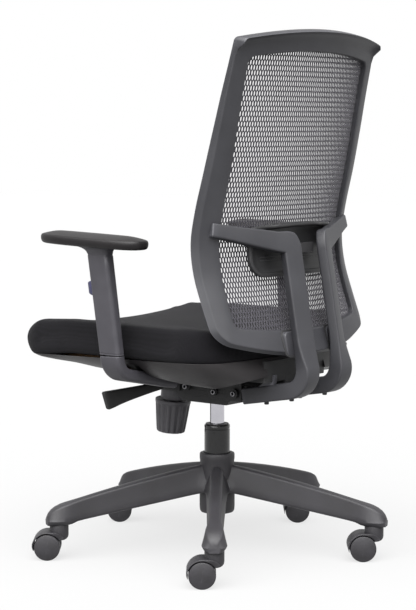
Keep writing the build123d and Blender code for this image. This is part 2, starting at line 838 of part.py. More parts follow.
def make_arm_bracket(cavity_width, cavity_depth, cavity_corner):
    post_width = cavity_width - 2 * post_clearance
    post_depth = cavity_depth - post_clearance - post_front_room
    shift = (post_front_room - post_clearance) / 2
    post_corner = cavity_corner - post_clearance
    post = sleeve_bar(post_width, post_depth, post_corner, -elbow_drop / 2, post_length, shift)
    elbow_top = sleeve_low - bracket_gap
    elbow_low = sleeve_low - elbow_drop
    outer = sleeve_x + sleeve_width / 2
    inner = sleeve_x - sleeve_width / 2
    slope = (elbow_low - bracket_inner_low) / (outer - bracket_inner)
    foot_end = bracket_inner + foot_length
    bar_at_foot = bracket_inner_low + slope * foot_length + bracket_bar_height
    bar_at_elbow = bracket_inner_low + slope * (inner - bracket_inner) + bracket_bar_height
    shape = polygon(
        (bracket_inner, board_low),
        (bracket_inner, bracket_inner_low),
        (outer, elbow_low),
        (outer, elbow_top),
        (inner, elbow_top),
        (inner, bar_at_elbow),
        (foot_end, bar_at_foot),
        (foot_end, board_low),
    )
    shape = round_corner(shape, outer, elbow_low, elbow_radius)
    half = bracket_depth / 2
    bracket = front_plate(shape, sleeve_y - half, sleeve_y + half) + post
    for x, y in arm_bolt_places():
        bracket -= post_z(seat_bolt_head, bracket_inner_low - arm_bolt_recess, bracket_inner_low + arm_bolt_recess, x, y)
    return bracket - seat_bolt_holes()


def make_arms():
    make_arm("left")
    for piece in ("sleeve", "button", "pad", "bracket"):
        save(f"arm_{piece}_right", mirror(parts[f"arm_{piece}_left"], Plane.YZ))


# Back frame, a bowed slab cut to the frame's outline
def bowed_slab(front_shift, rear_shift, low, high, axis_y=bow_axis_y):
    # The rear profile moved along Y, turned about an upright axis
    points = [(y, z) for y, z in frame_profile]
    low_slope = (points[1][0] - points[0][0]) / (points[1][1] - points[0][1])
    high_slope = (points[-1][0] - points[-2][0]) / (points[-1][1] - points[-2][1])
    first = (points[0][0] + low_slope * (low - points[0][1]), low)
    last = (points[-1][0] + high_slope * (high - points[-1][1]), high)
    line = [first] + points + [last]
    front = [(y + front_shift, z) for y, z in line]
    rear = [(y + rear_shift, z) for y, z in line]
    outline = Spline(*front)
    outline += Line(front[-1], rear[-1])
    outline += Spline(*reversed(rear))
    outline += Line(rear[0], front[0])
    axis = Axis((0, axis_y, 0), (0, 0, 1))
    slab = revolve(Plane.YZ * make_face(outline), axis, bow_spread)
    return Pos(0, axis_y, 0) * Rot(0, 0, -bow_spread / 2) * Pos(0, -axis_y, 0) * slab


def frame_outline(inset):
    corner_top = frame_top - frame_top_drop - inset
    corner_low = frame_low + frame_low_rise + inset
    top = frame_top_half_width - inset
    middle = frame_mid_half_width - inset
    low = frame_low_half_width - inset
    outline = ThreePointArc((-top, corner_top), (0, frame_top - inset), (top, corner_top))
    outline += ThreePointArc((top, corner_top), (middle, frame_mid_height), (low, corner_low))
    outline += ThreePointArc((low, corner_low), (0, frame_low + inset), (-low, corner_low))
    outline += ThreePointArc((-low, corner_low), (-middle, frame_mid_height), (-top, corner_top))
    face = make_face(outline)
    for side in (-1, 1):
        face = round_corner(face, side * top, corner_top, frame_top_corner)
        face = round_corner(face, side * low, corner_low, frame_low_corner - inset)
    return face


def opening_outline(inset):
    corner_top = opening_top - opening_top_drop - inset
    corner_low = opening_low + opening_low_rise + inset
    top = opening_top_half_width - inset
    low = opening_low_half_width - inset
    outline = ThreePointArc((-top, corner_top), (0, opening_top - inset), (top, corner_top))
    outline += Line((top, corner_top), (low, corner_low))
    outline += ThreePointArc((low, corner_low), (0, opening_low + inset), (-low, corner_low))
    outline += Line((-low, corner_low), (-top, corner_top))
    face = make_face(outline)
    for side in (-1, 1):
        face = round_corner(face, side * top, corner_top, opening_top_corner - inset)
        face = round_corner(face, side * low, corner_low, opening_low_corner - inset)
    return face


def through_back(face):
    return front_plate(face, 0, back_reach)


def make_frame():
    low = frame_profile_reach_low
    high = frame_profile_reach_top
    outline = frame_outline(0)
    frame = bowed_slab(-frame_depth, 0, low, high) & through_back(outline)
    # The front face steps back in a band along the outer edge
    band = Pos(0, frame_mid_height) * Rectangle(band_reach, band_reach) - frame_outline(frame_rim_inset)
    frame -= bowed_slab(-frame_reach, -frame_edge_depth, low, high) & through_back(band)
    # The rear face falls away to the outer edge along a tighter bow
    frame &= bowed_slab(-frame_reach, frame_edge_shift, low, high, frame_edge_bow_y)
    frame -= through_back(opening_outline(0))
    edge = outline - Pos(0, -lip_height) * outline
    edge &= Pos(0, frame_top) * Rectangle(band_reach, 2 * lip_region)
    lip = bowed_slab(-frame_depth / 2, lip_reach, low, high) & through_back(edge)
    save("back_frame", frame + lip)
    mesh_front = mesh_setback - frame_depth
    mesh = bowed_slab(mesh_front, mesh_front + mesh_thickness, low, high) & through_back(opening_outline(0))
    save("back_mesh", mesh - [through_back(cell) for cell in mesh_cells()])


def mesh_cells():
    # A plain grid that stands for the fine mesh, kept where a whole opening fits inside the rim
    inside = opening_outline(mesh_rim)
    pitch_x = 2 * (opening_low_half_width - mesh_rim) / mesh_columns
    pitch_z = (opening_top - opening_low - 2 * mesh_rim) / mesh_rows
    cells = []
    for row in range(mesh_rows):
        z = opening_low + mesh_rim + (row + 0.5) * pitch_z
        for column in range(mesh_columns):
            x = (column + 0.5 - mesh_columns / 2) * pitch_x
            cell = Pos(x, z) * Rectangle(pitch_x - mesh_bar, pitch_z - mesh_bar)
            shown = cell & inside
            if shown and shown.area > cell.area - mesh_bar:
                cells.append(cell)
    return cells


# Uprights
def upright_slope():
    return (upright_heel_y - upright_top_y) / (upright_top - upright_heel_z)


def upright_front(z):
    return upright_top_y - upright_depth + upright_slope() * (upright_top - z)


def toe_slope():
    return (upright_heel_z - toe_low) / (upright_heel_y - toe_y)


def toe_middle(y):
    return toe_low + toe_height / 2 + toe_slope() * (y - toe_y)


def upright_left():
    slope = upright_slope()
    rise = toe_slope()
    front_top = upright_top_y - upright_depth
    toe_high = toe_low + toe_height
    # The crook is where the front line of the post meets the top line of the toe
    crook_z = (toe_high + rise * (front_top + slope * upright_top - toe_y)) / (1 + rise * slope)
    crook_y = upright_front(crook_z)
    shape = polygon(
        (upright_top_y, upright_top),
        (upright_heel_y, upright_heel_z),
        (toe_y, toe_low),
        (toe_y, toe_high),
        (crook_y, crook_z),
        (front_top, upright_top),
    )
    shape = round_corner(shape, upright_heel_y, upright_heel_z, upright_heel_radius)
    shape = round_corner(shape, crook_y, crook_z, crook_radius)
    shape += polygon(
        (gusset_front, toe_middle(gusset_front)),
        (gusset_rear, toe_middle(gusset_rear)),
        (gusset_rear, gusset_top),
        (gusset_front, toe_middle(gusset_front) + toe_height / 2),
    )
    post = side_plate(shape, upright_inner, upright_outer)
    middle = upright_inner + upright_width / 2
    plan = polygon(
        (upright_inner, arm_root_y),
        (middle, arm_root_y),
        (arm_end_x, arm_end_y),
        (arm_end_x, arm_end_y - upright_depth),
        (middle, arm_root_y - upright_depth),
        (upright_inner, arm_root_y - upright_depth),
    )
    arm_low = arm_root_low - arm_corner_radius
    arm = extrude(Pos(0, 0, arm_low) * plan, arm_end_high - arm_low)
    view = polygon(
        (upright_inner, toe_low),
        (upright_inner, upright_top),
        (arm_end_x, arm_end_high),
        (arm_end_x, arm_end_low),
        (upright_outer, arm_root_low),
        (upright_outer, toe_low),
    )
    view = round_corner(view, upright_inner, upright_top, arm_corner_radius)
    view = round_corner(view, upright_outer, arm_root_low, arm_corner_radius)
    return (post + arm) & front_plate(view, 0, upright_heel_y + upright_depth)


def cross_bolts():
    half = upright_outer - cross_bolt_cover
    return [rod_x(cross_bolt_diameter, -half, half, y, toe_middle(y)) for y in cross_bolt_ys]


def make_back():
    bolts = cross_bolts()
    half = toe_height / 2
    tongue_half = half - tongue_inset
    tongue = side_plate(
        polygon(
            (toe_y, toe_middle(toe_y) - tongue_half),
            (tongue_rear, toe_middle(tongue_rear) - tongue_half),
            (tongue_rear, toe_middle(tongue_rear) + tongue_half),
            (toe_y, toe_middle(toe_y) + tongue_half),
        ),
        -upright_inner,
        upright_inner,
    )
    plate_front = toe_y - 2 * bracket_plate
    plate_low = toe_middle(toe_y) - tongue_half
    plate = block(-bracket_outside, bracket_outside, plate_front, toe_y, plate_low, plate_low + 2 * tongue_half)
    eye = rod_x(toe_height, bracket_inside, bracket_outside, tilt_shaft_y, tilt_shaft_z)
    arm = block(bracket_inside, bracket_outside, tilt_shaft_y, toe_y, tilt_shaft_z - half, tilt_shaft_z + half)
    arm += eye
    arm -= rod_x(shaft_diameter + 2 * running_clearance, 0, bracket_outside, tilt_shaft_y, tilt_shaft_z)
    arm -= rod_x(link_pin_diameter, 0, bracket_outside, link_pin_y, link_pin_z)
    bracket = tongue + plate + both_sides(arm)
    frame_room = bowed_slab(-frame_reach, 0, frame_profile_reach_low, frame_profile_reach_top)
    frame_room &= bowed_slab(
        -frame_reach, frame_edge_shift, frame_profile_reach_low, frame_profile_reach_top, frame_edge_bow_y
    )
    upright = upright_left() - frame_room
    for bolt in bolts:
        bracket -= bolt
        upright -= bolt
    save("back_bracket", bracket)
    save("back_upright_left", upright)
    save("back_upright_right", mirror(upright, Plane.YZ))
    mount_inner = upright_inner + (upright_width - mount_width) / 2
    section = RectangleRounded(mount_width, mount_high - mount_low, mount_corner)
    middle = (mount_inner + mount_width / 2, (mount_low + mount_high) / 2)
    mount = front_plate(Pos(*middle) * section, upright_top_y - upright_depth, upright_heel_y)
    behind = polygon(
        (upright_front(mount_low - upright_width), mount_low - upright_width),
        (upright_heel_y + upright_width, mount_low - upright_width),
        (upright_heel_y + upright_width, mount_high + upright_width),
        (upright_front(mount_high + upright_width), mount_high + upright_width),
    )
    mount -= side_plate(behind, 0, upright_outer)
    slab = bowed_slab(-2 * upright_heel_y, 0, frame_profile_reach_low, frame_profile_reach_top)
    mount -= slab
    save("frame_mounts", Compound([mount, mirror(mount, Plane.YZ)]))
    save("back_bolts", Compound(bolts))


# Lumbar support
def arm_room():
    # Everything behind a line just in front of the upright's arm
    middle = upright_inner + upright_width / 2
    root = arm_root_y - upright_depth - lumbar_arm_gap
    end = arm_end_y - upright_depth - lumbar_arm_gap
    plan = polygon((0, root), (middle, root), (arm_end_x, end), (arm_end_x, arm_root_y), (0, arm_root_y))
    return extrude(plan, frame_top)


def make_lumbar():
    front = mesh_setback - frame_depth + mesh_thickness + lumbar_mesh_gap
    rear = front + lumbar_thickness
    low = frame_profile_reach_low
    high = frame_profile_reach_top
    corner = lumbar_high - lumbar_arch
    half = lumbar_half_width
    outline = Polyline((half, corner), (half, lumbar_low), (-half, lumbar_low), (-half, corner))
    outline += ThreePointArc((-half, corner), (0, lumbar_high), (half, corner))
    face = make_face(outline)
    for side in (-1, 1):
        face = round_corner(face, side * half, lumbar_low, lumbar_corner)
    pad = bowed_slab(front, rear, low, high) & through_back(face)
    edge = face - Pos(0, -lumbar_rim_height) * face
    edge &= Pos(0, lumbar_high) * Rectangle(band_reach, lumbar_high - lumbar_low)
    shelf = bowed_slab(front, rear + lumbar_rim, low, high) & through_back(edge)
    guide_room = block(-upright_outer, upright_outer, guide_front - lumbar_arm_gap, back_reach, 0, frame_top)
    pad += shelf - both_sides(arm_room()) - guide_room
    rib_low = lumbar_stud_z - lumbar_rib_pitch * (lumbar_rib_count - 1) / 2
    for number in range(lumbar_rib_count):
        z = rib_low + number * lumbar_rib_pitch
        rib = Pos(0, z) * Rectangle(2 * half - 2 * lumbar_corner, lumbar_rib_height)
        pad += bowed_slab(front, rear + lumbar_rib_reach, low, high) & through_back(rib)
    guide_rear = guide_front + guide_thickness
    stud = rod_y(lumbar_stud_diameter, 0, guide_rear + stud_clearance, 0, lumbar_stud_z)
    stud -= bowed_slab(-2 * guide_front, front, low, high)
    head_low = guide_rear + stud_clearance
    stud += rod_y(lumbar_stud_head, head_low, head_low + lumbar_stud_head_height, 0, lumbar_stud_z)
    save("lumbar_pad", pad + stud)
    slot_half = lumbar_stud_diameter / 2 + stud_clearance
    slot_rise = slot_half + lumbar_travel
    guide_rise = slot_rise + guide_margin
    guide = block(-upright_inner, upright_inner, guide_front, guide_rear,
                  lumbar_stud_z - guide_rise, lumbar_stud_z + guide_rise)
    guide -= block(-slot_half, slot_half, guide_front, guide_rear, lumbar_stud_z - slot_rise, lumbar_stud_z + slot_rise)
    save("lumbar_guide", guide)


make_casters()
make_base()
make_lift()
make_mechanism()
make_levers()
make_seat()
make_arms()
make_frame()
make_back()
make_lumbar()

os.makedirs("parts", exist_ok=True)
for name, shape in parts.items():
    export_step(shape, f"parts/{name}.step")
print(len(parts), "nodes")
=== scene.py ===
import bpy
import bmesh
import json
import math
from mathutils import Matrix, Vector


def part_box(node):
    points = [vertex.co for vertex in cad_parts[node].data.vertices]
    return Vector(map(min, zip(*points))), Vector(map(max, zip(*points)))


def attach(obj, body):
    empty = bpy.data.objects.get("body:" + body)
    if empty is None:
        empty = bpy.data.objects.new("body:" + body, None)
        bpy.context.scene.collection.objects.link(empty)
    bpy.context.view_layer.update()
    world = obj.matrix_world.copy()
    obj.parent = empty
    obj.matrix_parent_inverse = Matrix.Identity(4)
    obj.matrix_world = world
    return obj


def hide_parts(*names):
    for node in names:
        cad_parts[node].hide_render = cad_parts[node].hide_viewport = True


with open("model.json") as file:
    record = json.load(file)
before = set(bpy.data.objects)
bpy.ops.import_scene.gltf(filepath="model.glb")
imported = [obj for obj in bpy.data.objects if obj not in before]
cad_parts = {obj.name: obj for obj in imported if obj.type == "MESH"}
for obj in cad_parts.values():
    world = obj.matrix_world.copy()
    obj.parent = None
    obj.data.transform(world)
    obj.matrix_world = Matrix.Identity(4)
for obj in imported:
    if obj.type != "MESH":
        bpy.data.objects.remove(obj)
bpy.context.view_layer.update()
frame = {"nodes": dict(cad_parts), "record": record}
cadNodes = frame["nodes"]
mm = 0.001
print("stage: frame loaded")


# Colours and materials
def linear(hexColour):
    channels = [int(hexColour[i:i + 2], 16) / 255 for i in (1, 3, 5)]
    return [c / 12.92 if c <= 0.04045 else ((c + 0.055) / 1.055) ** 2.4 for c in channels] + [1.0]


def addNode(tree, kind, inputs, **settings):
    node = tree.nodes.new(kind)
    for key, value in settings.items():
        setattr(node, key, value)
    for key, value in inputs.items():
        if isinstance(value, bpy.types.NodeSocket):
            tree.links.new(value, node.inputs[key])
        else:
            node.inputs[key].default_value = value
    return node


def mixColour(tree, factor, first, second):
    # In a mix of colours, inputs 6 and 7 and output 2 are the ones that hold colours
    return addNode(tree, "ShaderNodeMix", {0: factor, 6: first, 7: second}, data_type="RGBA").outputs[2]


def startMaterial(name):
    material = bpy.data.materials.new(name)
    material.use_nodes = True
    tree = material.node_tree
    tree.nodes.clear()
    output = addNode(tree, "ShaderNodeOutputMaterial", {})
    coords = addNode(tree, "ShaderNodeTexCoord", {}).outputs["Object"]
    return material, tree, output, coords


def noiseAt(tree, coords, size, detail=3.0):
    return addNode(tree, "ShaderNodeTexNoise", {"Vector": coords, "Scale": 1 / (size * mm), "Detail": detail})


def rangeOf(tree, value, low, high, fromLow=0.3, fromHigh=0.7):
    inputs = {"Value": value, "From Min": fromLow, "From Max": fromHigh, "To Min": low, "To Max": high}
    return addNode(tree, "ShaderNodeMapRange", inputs).outputs["Result"]


# How far the worn colour shows, and the pointiness over which an edge counts as sharp
wearSpec = dict(amount=0.45, sharp=(0.53, 0.62))


def solidFinish(name, spec):
    # Moulded, painted or metal surface: broad tone change, fine grain, lighter worn edges
    material, tree, output, coords = startMaterial(name)
    blotch = noiseAt(tree, coords, spec["blotch"])
    grain = noiseAt(tree, coords, spec["grain"], 2.0)
    tone = rangeOf(tree, blotch.outputs["Fac"], 0.0, 1.0)
    colour = mixColour(tree, tone, linear(spec["colour"]), linear(spec["tint"]))
    if "wear" in spec:
        point = addNode(tree, "ShaderNodeNewGeometry", {}).outputs["Pointiness"]
        edge = rangeOf(tree, point, 0.0, wearSpec["amount"], *wearSpec["sharp"])
        colour = mixColour(tree, edge, colour, linear(spec["wear"]))
    rough = rangeOf(tree, grain.outputs["Fac"], spec["rough"][0], spec["rough"][1])
    bump = addNode(tree, "ShaderNodeBump", {
        "Strength": spec["bump"], "Distance": spec["depth"] * mm, "Height": grain.outputs["Fac"]})
    shader = addNode(tree, "ShaderNodeBsdfPrincipled", {
        "Base Color": colour, "Roughness": rough, "Normal": bump.outputs["Normal"],
        "Metallic": spec.get("metal", 0.0), "Coat Weight": spec.get("coat", 0.0), "Coat Roughness": 0.1,
        "Specular IOR Level": spec.get("specular", 0.3)})
    tree.links.new(shader.outputs["BSDF"], output.inputs["Surface"])
    return material


def weaveFinish(name, spec):
    # Woven yarn: bands along the three axes, so that every face shows a weave
    material, tree, output, coords = startMaterial(name)
    # at scale 1 the wave texture repeats every 2 pi / 20
    scale = 2 * math.pi / 20 / (spec["pitch"] * mm)
    slub = noiseAt(tree, coords, spec["slub"], 4.0)
    total = slub.outputs["Fac"]
    for axis in ("X", "Y", "Z"):
        wave = addNode(tree, "ShaderNodeTexWave", {"Vector": coords, "Scale": scale, "Distortion": 0.6,
                                                   "Detail": 1.0, "Detail Scale": 2.0}, bands_direction=axis)
        total = addNode(tree, "ShaderNodeMath", {0: total, 1: wave.outputs["Fac"]}).outputs["Value"]
    tone = rangeOf(tree, total, 0.0, 1.0, 1.0, 3.0)
    colour = mixColour(tree, tone, linear(spec["colour"]), linear(spec["tint"]))
    fade = noiseAt(tree, coords, spec["blotch"], 2.0)
    colour = mixColour(tree, rangeOf(tree, fade.outputs["Fac"], 0.0, 0.35), colour, linear(spec["fade"]))
    bump = addNode(tree, "ShaderNodeBump", {
        "Strength": spec["bump"], "Distance": spec["depth"] * mm, "Height": total})
    shader = addNode(tree, "ShaderNodeBsdfPrincipled", {
        "Base Color": colour, "Roughness": spec["rough"], "Normal": bump.outputs["Normal"],
        "Sheen Weight": spec["sheen"], "Sheen Roughness": 0.5,
        "Specular IOR Level": spec.get("specular", 0.25)})
    tree.links.new(shader.outputs["BSDF"], output.inputs["Surface"])
    return material


# Sizes of blotch, grain, slub, pitch and depth are in mm
finishes = {
    # glass-filled nylon with a sparked texture
    "base_nylon": ("solid", dict(colour="#19181a", tint="#201f22", wear="#3a393c", blotch=55, grain=1.1,
        rough=(0.46, 0.6), bump=0.35, depth=0.25)),
    "caster_nylon": ("solid", dict(colour="#181719", tint="#1f1e21", wear="#3a393d", blotch=18, grain=1.0,
        rough=(0.46, 0.58), bump=0.35, depth=0.25)),
    # black gloss paint on the steel tube
    "tube_paint": ("solid", dict(colour="#0b0b0c", tint="#0f0f10", blotch=40, grain=2.5, rough=(0.2, 0.28),
        bump=0.05, depth=0.1, coat=0.3)),
    # black acetal bush
    "bush_acetal": ("solid", dict(colour="#0c0c0d", tint="#121213", blotch=9, grain=1.2, rough=(0.4, 0.5),
        bump=0.1, depth=0.1)),
    # zinc-plated steel
    "bright_steel": ("solid", dict(colour="#8f8e91", tint="#77767a", blotch=4, grain=0.6, rough=(0.24, 0.38),
        bump=0.1, depth=0.05, metal=1.0)),
    # hard chrome on the cylinder
    "chrome": ("solid", dict(colour="#c4c3c8", tint="#b9b8be", blotch=30, grain=1.5, rough=(0.08, 0.14),
        bump=0.03, depth=0.03, metal=1.0)),
    # black powder coat on pressed steel
    "black_steel": ("solid", dict(colour="#0c0c0d", tint="#111112", wear="#2a292b", blotch=14, grain=0.9,
        rough=(0.5, 0.64), bump=0.3, depth=0.15, specular=0.35)),
    # polypropylene knob and neck
    "knob_plastic": ("solid", dict(colour="#363538", tint="#3d3c3f", wear="#565559", blotch=25, grain=1.0,
        rough=(0.42, 0.54), bump=0.22, depth=0.15)),
    # black polypropylene of the levers and the seat pan
    "lever_plastic": ("solid", dict(colour="#0b0b0b", tint="#101010", wear="#2c2c2d", blotch=22, grain=1.0,
        rough=(0.5, 0.62), bump=0.25, depth=0.15)),
    # beech plywood board inside the seat
    "plywood": ("solid", dict(colour="#6e5236", tint="#7d6144", blotch=12, grain=1.5, rough=(0.6, 0.75),
        bump=0.3, depth=0.2)),
    # polypropylene under-cover of the seat
    "cover_plastic": ("solid", dict(colour="#161415", tint="#1c1a1b", wear="#3d3a3b", blotch=60, grain=1.3,
        rough=(0.4, 0.52), bump=0.2, depth=0.18)),
    # moulded nylon of the arms
    "arm_plastic": ("solid", dict(colour="#29282c", tint="#302f33", wear="#4d4c51", blotch=45, grain=1.1,
        rough=(0.44, 0.56), bump=0.25, depth=0.18)),
    # skinned polyurethane foam
    "pad_polyurethane": ("solid", dict(colour="#0c0a0b", tint="#110f10", blotch=30, grain=0.8,
        rough=(0.4, 0.52), bump=0.3, depth=0.15, specular=0.2)),
    # blue-grey acetal button
    "button_plastic": ("solid", dict(colour="#24243a", tint="#2a2a42", blotch=6, grain=0.9,
        rough=(0.35, 0.45), bump=0.15, depth=0.1)),
    # moulded nylon of the back, fine spark texture
    "frame_plastic": ("solid", dict(colour="#212124", tint="#28282b", wear="#4a4a4f", blotch=70, grain=1.1,
        rough=(0.44, 0.56), bump=0.25, depth=0.18)),
    # polypropylene lumbar pad, darker and smoother
    "lumbar_plastic": ("solid", dict(colour="#161617", tint="#1c1c1d", wear="#3e3e40", blotch=30, grain=1.2,
        rough=(0.38, 0.5), bump=0.15, depth=0.12)),
    # black woven polyester
    "seat_fabric": ("weave", dict(colour="#050506", tint="#0d0c0f", fade="#0f0e11", pitch=1.5, slub=6,
        blotch=120, bump=0.5, depth=0.4, rough=0.92, sheen=0.02, specular=0.1)),
    # knitted polyester mesh yarn
    "mesh_fabric": ("weave", dict(colour="#17161a", tint="#312f36", fade="#29272d", pitch=0.7, slub=3,
        blotch=80, bump=0.3, depth=0.15, rough=0.7, sheen=0.1)),
}
makers = {"solid": solidFinish, "weave": weaveFinish}
materials = {slot: makers[kind](slot, spec) for slot, (kind, spec) in finishes.items()}
print("stage: materials made")

# Mesh helpers: rings and sizes are in mm, and bridge turns rings into points in metres and faces
sharpAngle = math.radians(40)
weldDistance = 0.01 * mm
square = ((-1, -1), (1, -1), (1, 1), (-1, 1))


def newPiece(name, verts, faces, slot):
    mesh = bpy.data.meshes.new(name)
    mesh.from_pydata([tuple(v) for v in verts], [], faces)
    mesh.validate()
    bm = bmesh.new()
    bm.from_mesh(mesh)
    bmesh.ops.recalc_face_normals(bm, faces=bm.faces)
    bm.to_mesh(mesh)
    bm.free()
    obj = bpy.data.objects.new(name, mesh)
    bpy.context.scene.collection.objects.link(obj)
    mesh.materials.append(materials[slot])
    mesh.shade_smooth()
    mesh.set_sharp_from_angle(angle=sharpAngle)
    return obj


def addTo(obj, kind, **settings):
    modifier = obj.modifiers.new(kind.lower(), kind)
    for key, value in settings.items():
        setattr(modifier, key, value)
    return modifier


def settle(obj, body, slot, *replaced):
    if replaced:
        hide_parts(*replaced)
    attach(obj, body)
    return obj


def addPiece(name, part, body, slot, *replaced):
    return settle(newPiece(name, *part, slot), body, slot, *replaced)


def bridge(rings, caps=True, loop=False):
    # Quads between rings of equal length, with a flat cap on each end
    size = len(rings[0])
    verts = [Vector(p) * mm for ring in rings for p in ring]
    faces = []
    count = len(rings)
    for i in range(count if loop else count - 1):
        a = i * size
        b = (i + 1) % count * size
        for k in range(size):
            n = (k + 1) % size
            faces.append((a + k, a + n, b + n, b + k))
    if caps and not loop:
        faces.append(tuple(range(size))[::-1])
        faces.append(tuple(range((count - 1) * size, count * size)))
    return verts, faces


def spanned(size, start, middle):
    # Faces across a ring, in bands from one point to the opposite one, so that a curved cap keeps its curve
    faces = []
    for k in range(size // 2):
        band = [start + (middle + turn) % size for turn in (k, k + 1, -k - 1, -k)]
        faces.append(tuple(dict.fromkeys(band)))
    return faces


def joined(parts):
    verts = []
    faces = []
    for partVerts, partFaces in parts:
        start = len(verts)
        verts += list(partVerts)
        faces += [tuple(start + k for k in face) for face in partFaces]
    return verts, faces


def moved(part, matrix):
    verts, faces = part
    return [matrix @ Vector(v) for v in verts], faces


def shift(x, y, z):
    return Matrix.Translation(Vector((x, y, z)) * mm)


def turned(degrees, axis):
    return Matrix.Rotation(math.radians(degrees), 4, axis)


def mirrored(part):
    verts, faces = part
    return [Vector((-v[0], v[1], v[2])) for v in verts], [tuple(reversed(face)) for face in faces]


def bothSides(part):
    return joined([part, mirrored(part)])


def lathe(profile, steps=48):
    # Profile of (radius, height), turned about Z
    rings = []
    for radius, height in profile:
        ring = []
        for k in range(steps):
            turn = 2 * math.pi * k / steps
            ring.append((radius * math.cos(turn), radius * math.sin(turn), height))
        rings.append(ring)
    return bridge(rings)


def plate(outline, axis, low, high, edge=0.8):
    # Flat piece with eased edges: an outline in the two other axes, pushed along axis
    centre = Vector((sum(p[0] for p in outline) / len(outline), sum(p[1] for p in outline) / len(outline)))
    size = max((Vector(p) - centre).length for p in outline)
    rings = []
    for place, trim in ((low, edge), (low + edge, 0), (high - edge, 0), (high, edge)):
        ring = []
        for p in outline:
            q = centre + (Vector(p) - centre) * (1 - trim / size)
            point = [q.x, q.y]
            point.insert("xyz".index(axis), place)
            ring.append(point)
        rings.append(ring)
    return bridge(rings)


def roundRect(width, depth, radius, perCorner=5):
    # Corner-rounded rectangle, counterclockwise from the +X side
    points = []
    for cx, cy, start in ((1, 1, 0), (-1, 1, 90), (-1, -1, 180), (1, -1, 270)):
        for k in range(perCorner + 1):
            turn = math.radians(start + 90 * k / perCorner)
            x = cx * (width / 2 - radius) + radius * math.cos(turn)
            y = cy * (depth / 2 - radius) + radius * math.sin(turn)
            points.append((x, y))
    return points


def lerp(a, b, t):
    return a + (b - a) * t


def smooth(t):
    t = max(0.0, min(1.0, t))
    return t * t * (3 - 2 * t)


def ramp(value, start, run):
    return smooth((value - start) / run)


def through(points, value):
    # Smooth curve through (place, height) pairs, extended straight at both ends
    if value <= points[0][0]:
        (x0, y0), (x1, y1) = points[:2]
        return y0 + (y1 - y0) * (value - x0) / (x1 - x0)
    if value >= points[-1][0]:
        (x0, y0), (x1, y1) = points[-2:]
        return y1 + (y1 - y0) * (value - x1) / (x1 - x0)
    for i in range(len(points) - 1):
        if points[i][0] <= value <= points[i + 1][0]:
            break

    def slopeAt(k):
        a = points[max(k - 1, 0)]
        b = points[min(k + 1, len(points) - 1)]
        return (b[1] - a[1]) / (b[0] - a[0])
    (x0, y0), (x1, y1) = points[i], points[i + 1]
    step = x1 - x0
    t = (value - x0) / step
    h00 = (1 + 2 * t) * (1 - t) ** 2
    h10 = t * (1 - t) ** 2
    h01 = t * t * (3 - 2 * t)
    h11 = t * t * (t - 1)
    return h00 * y0 + h10 * step * slopeAt(i) + h01 * y1 + h11 * step * slopeAt(i + 1)


def roundedPath(corners, radii, arcSteps=10, runSteps=6):
    # Points along straight runs joined by arcs
    points = [Vector(corners[0])]
    for i in range(1, len(corners) - 1):
        here = Vector(corners[i])
        before = (Vector(corners[i - 1]) - here).normalized()
        after = (Vector(corners[i + 1]) - here).normalized()
        half = before.angle(after) / 2
        reach = radii[i - 1] / math.tan(half)
        start = here + before * reach
        end = here + after * reach
        centre = here + (before + after).normalized() * (radii[i - 1] / math.sin(half))
        last = points[-1]
        points += [last.lerp(start, k / runSteps) for k in range(1, runSteps + 1)]
        first = start - centre
        final = end - centre
        turn = first.angle(final)
        for k in range(1, arcSteps + 1):
            t = k / arcSteps
            mix = first * math.sin((1 - t) * turn) + final * math.sin(t * turn)
            points.append(centre + mix / math.sin(turn))
    last = points[-1]
    end = Vector(corners[-1])
    points += [last.lerp(end, k / runSteps) for k in range(1, runSteps + 1)]
    return points


def sweepBar(points, across, sizeAt, endRound=2.0, perCorner=5):
    # Rounded bar along points; sizeAt gives width, thickness, corner, roll and shift at a share of its length
    lengths = [0.0]
    for a, b in zip(points, points[1:]):
        lengths.append(lengths[-1] + (b - a).length)
    total = lengths[-1]
    rings = []
    side = Vector(across)
    previous = None
    for i, point in enumerate(points):
        ahead = points[min(i + 1, len(points) - 1)]
        behind = points[max(i - 1, 0)]
        along = (ahead - behind).normalized()
        if previous is not None:
            side = previous.rotation_difference(along) @ side
        side = (side - along * side.dot(along)).normalized()
        previous = along
        normal = along.cross(side)
        width, thickness, corner, roll, offset = sizeAt(lengths[i] / total)
        broad = side * math.cos(roll) - normal * math.sin(roll)
        facing = normal * math.cos(roll) + side * math.sin(roll)
        centre = point + broad * offset
        section = roundRect(width, thickness, corner, perCorner)
        rings.append([centre + broad * u + facing * v for u, v in section])
        if i in (0, len(points) - 1):
            sign = -1 if i == 0 else 1
            narrow = max(corner - endRound, 0.5)
            small = roundRect(width - 2 * endRound, thickness - 2 * endRound, narrow, perCorner)
            cap = [centre + along * sign * endRound + broad * u + facing * v for u, v in small]
            rings.insert(0 if i == 0 else len(rings), cap)
    return bridge(rings)


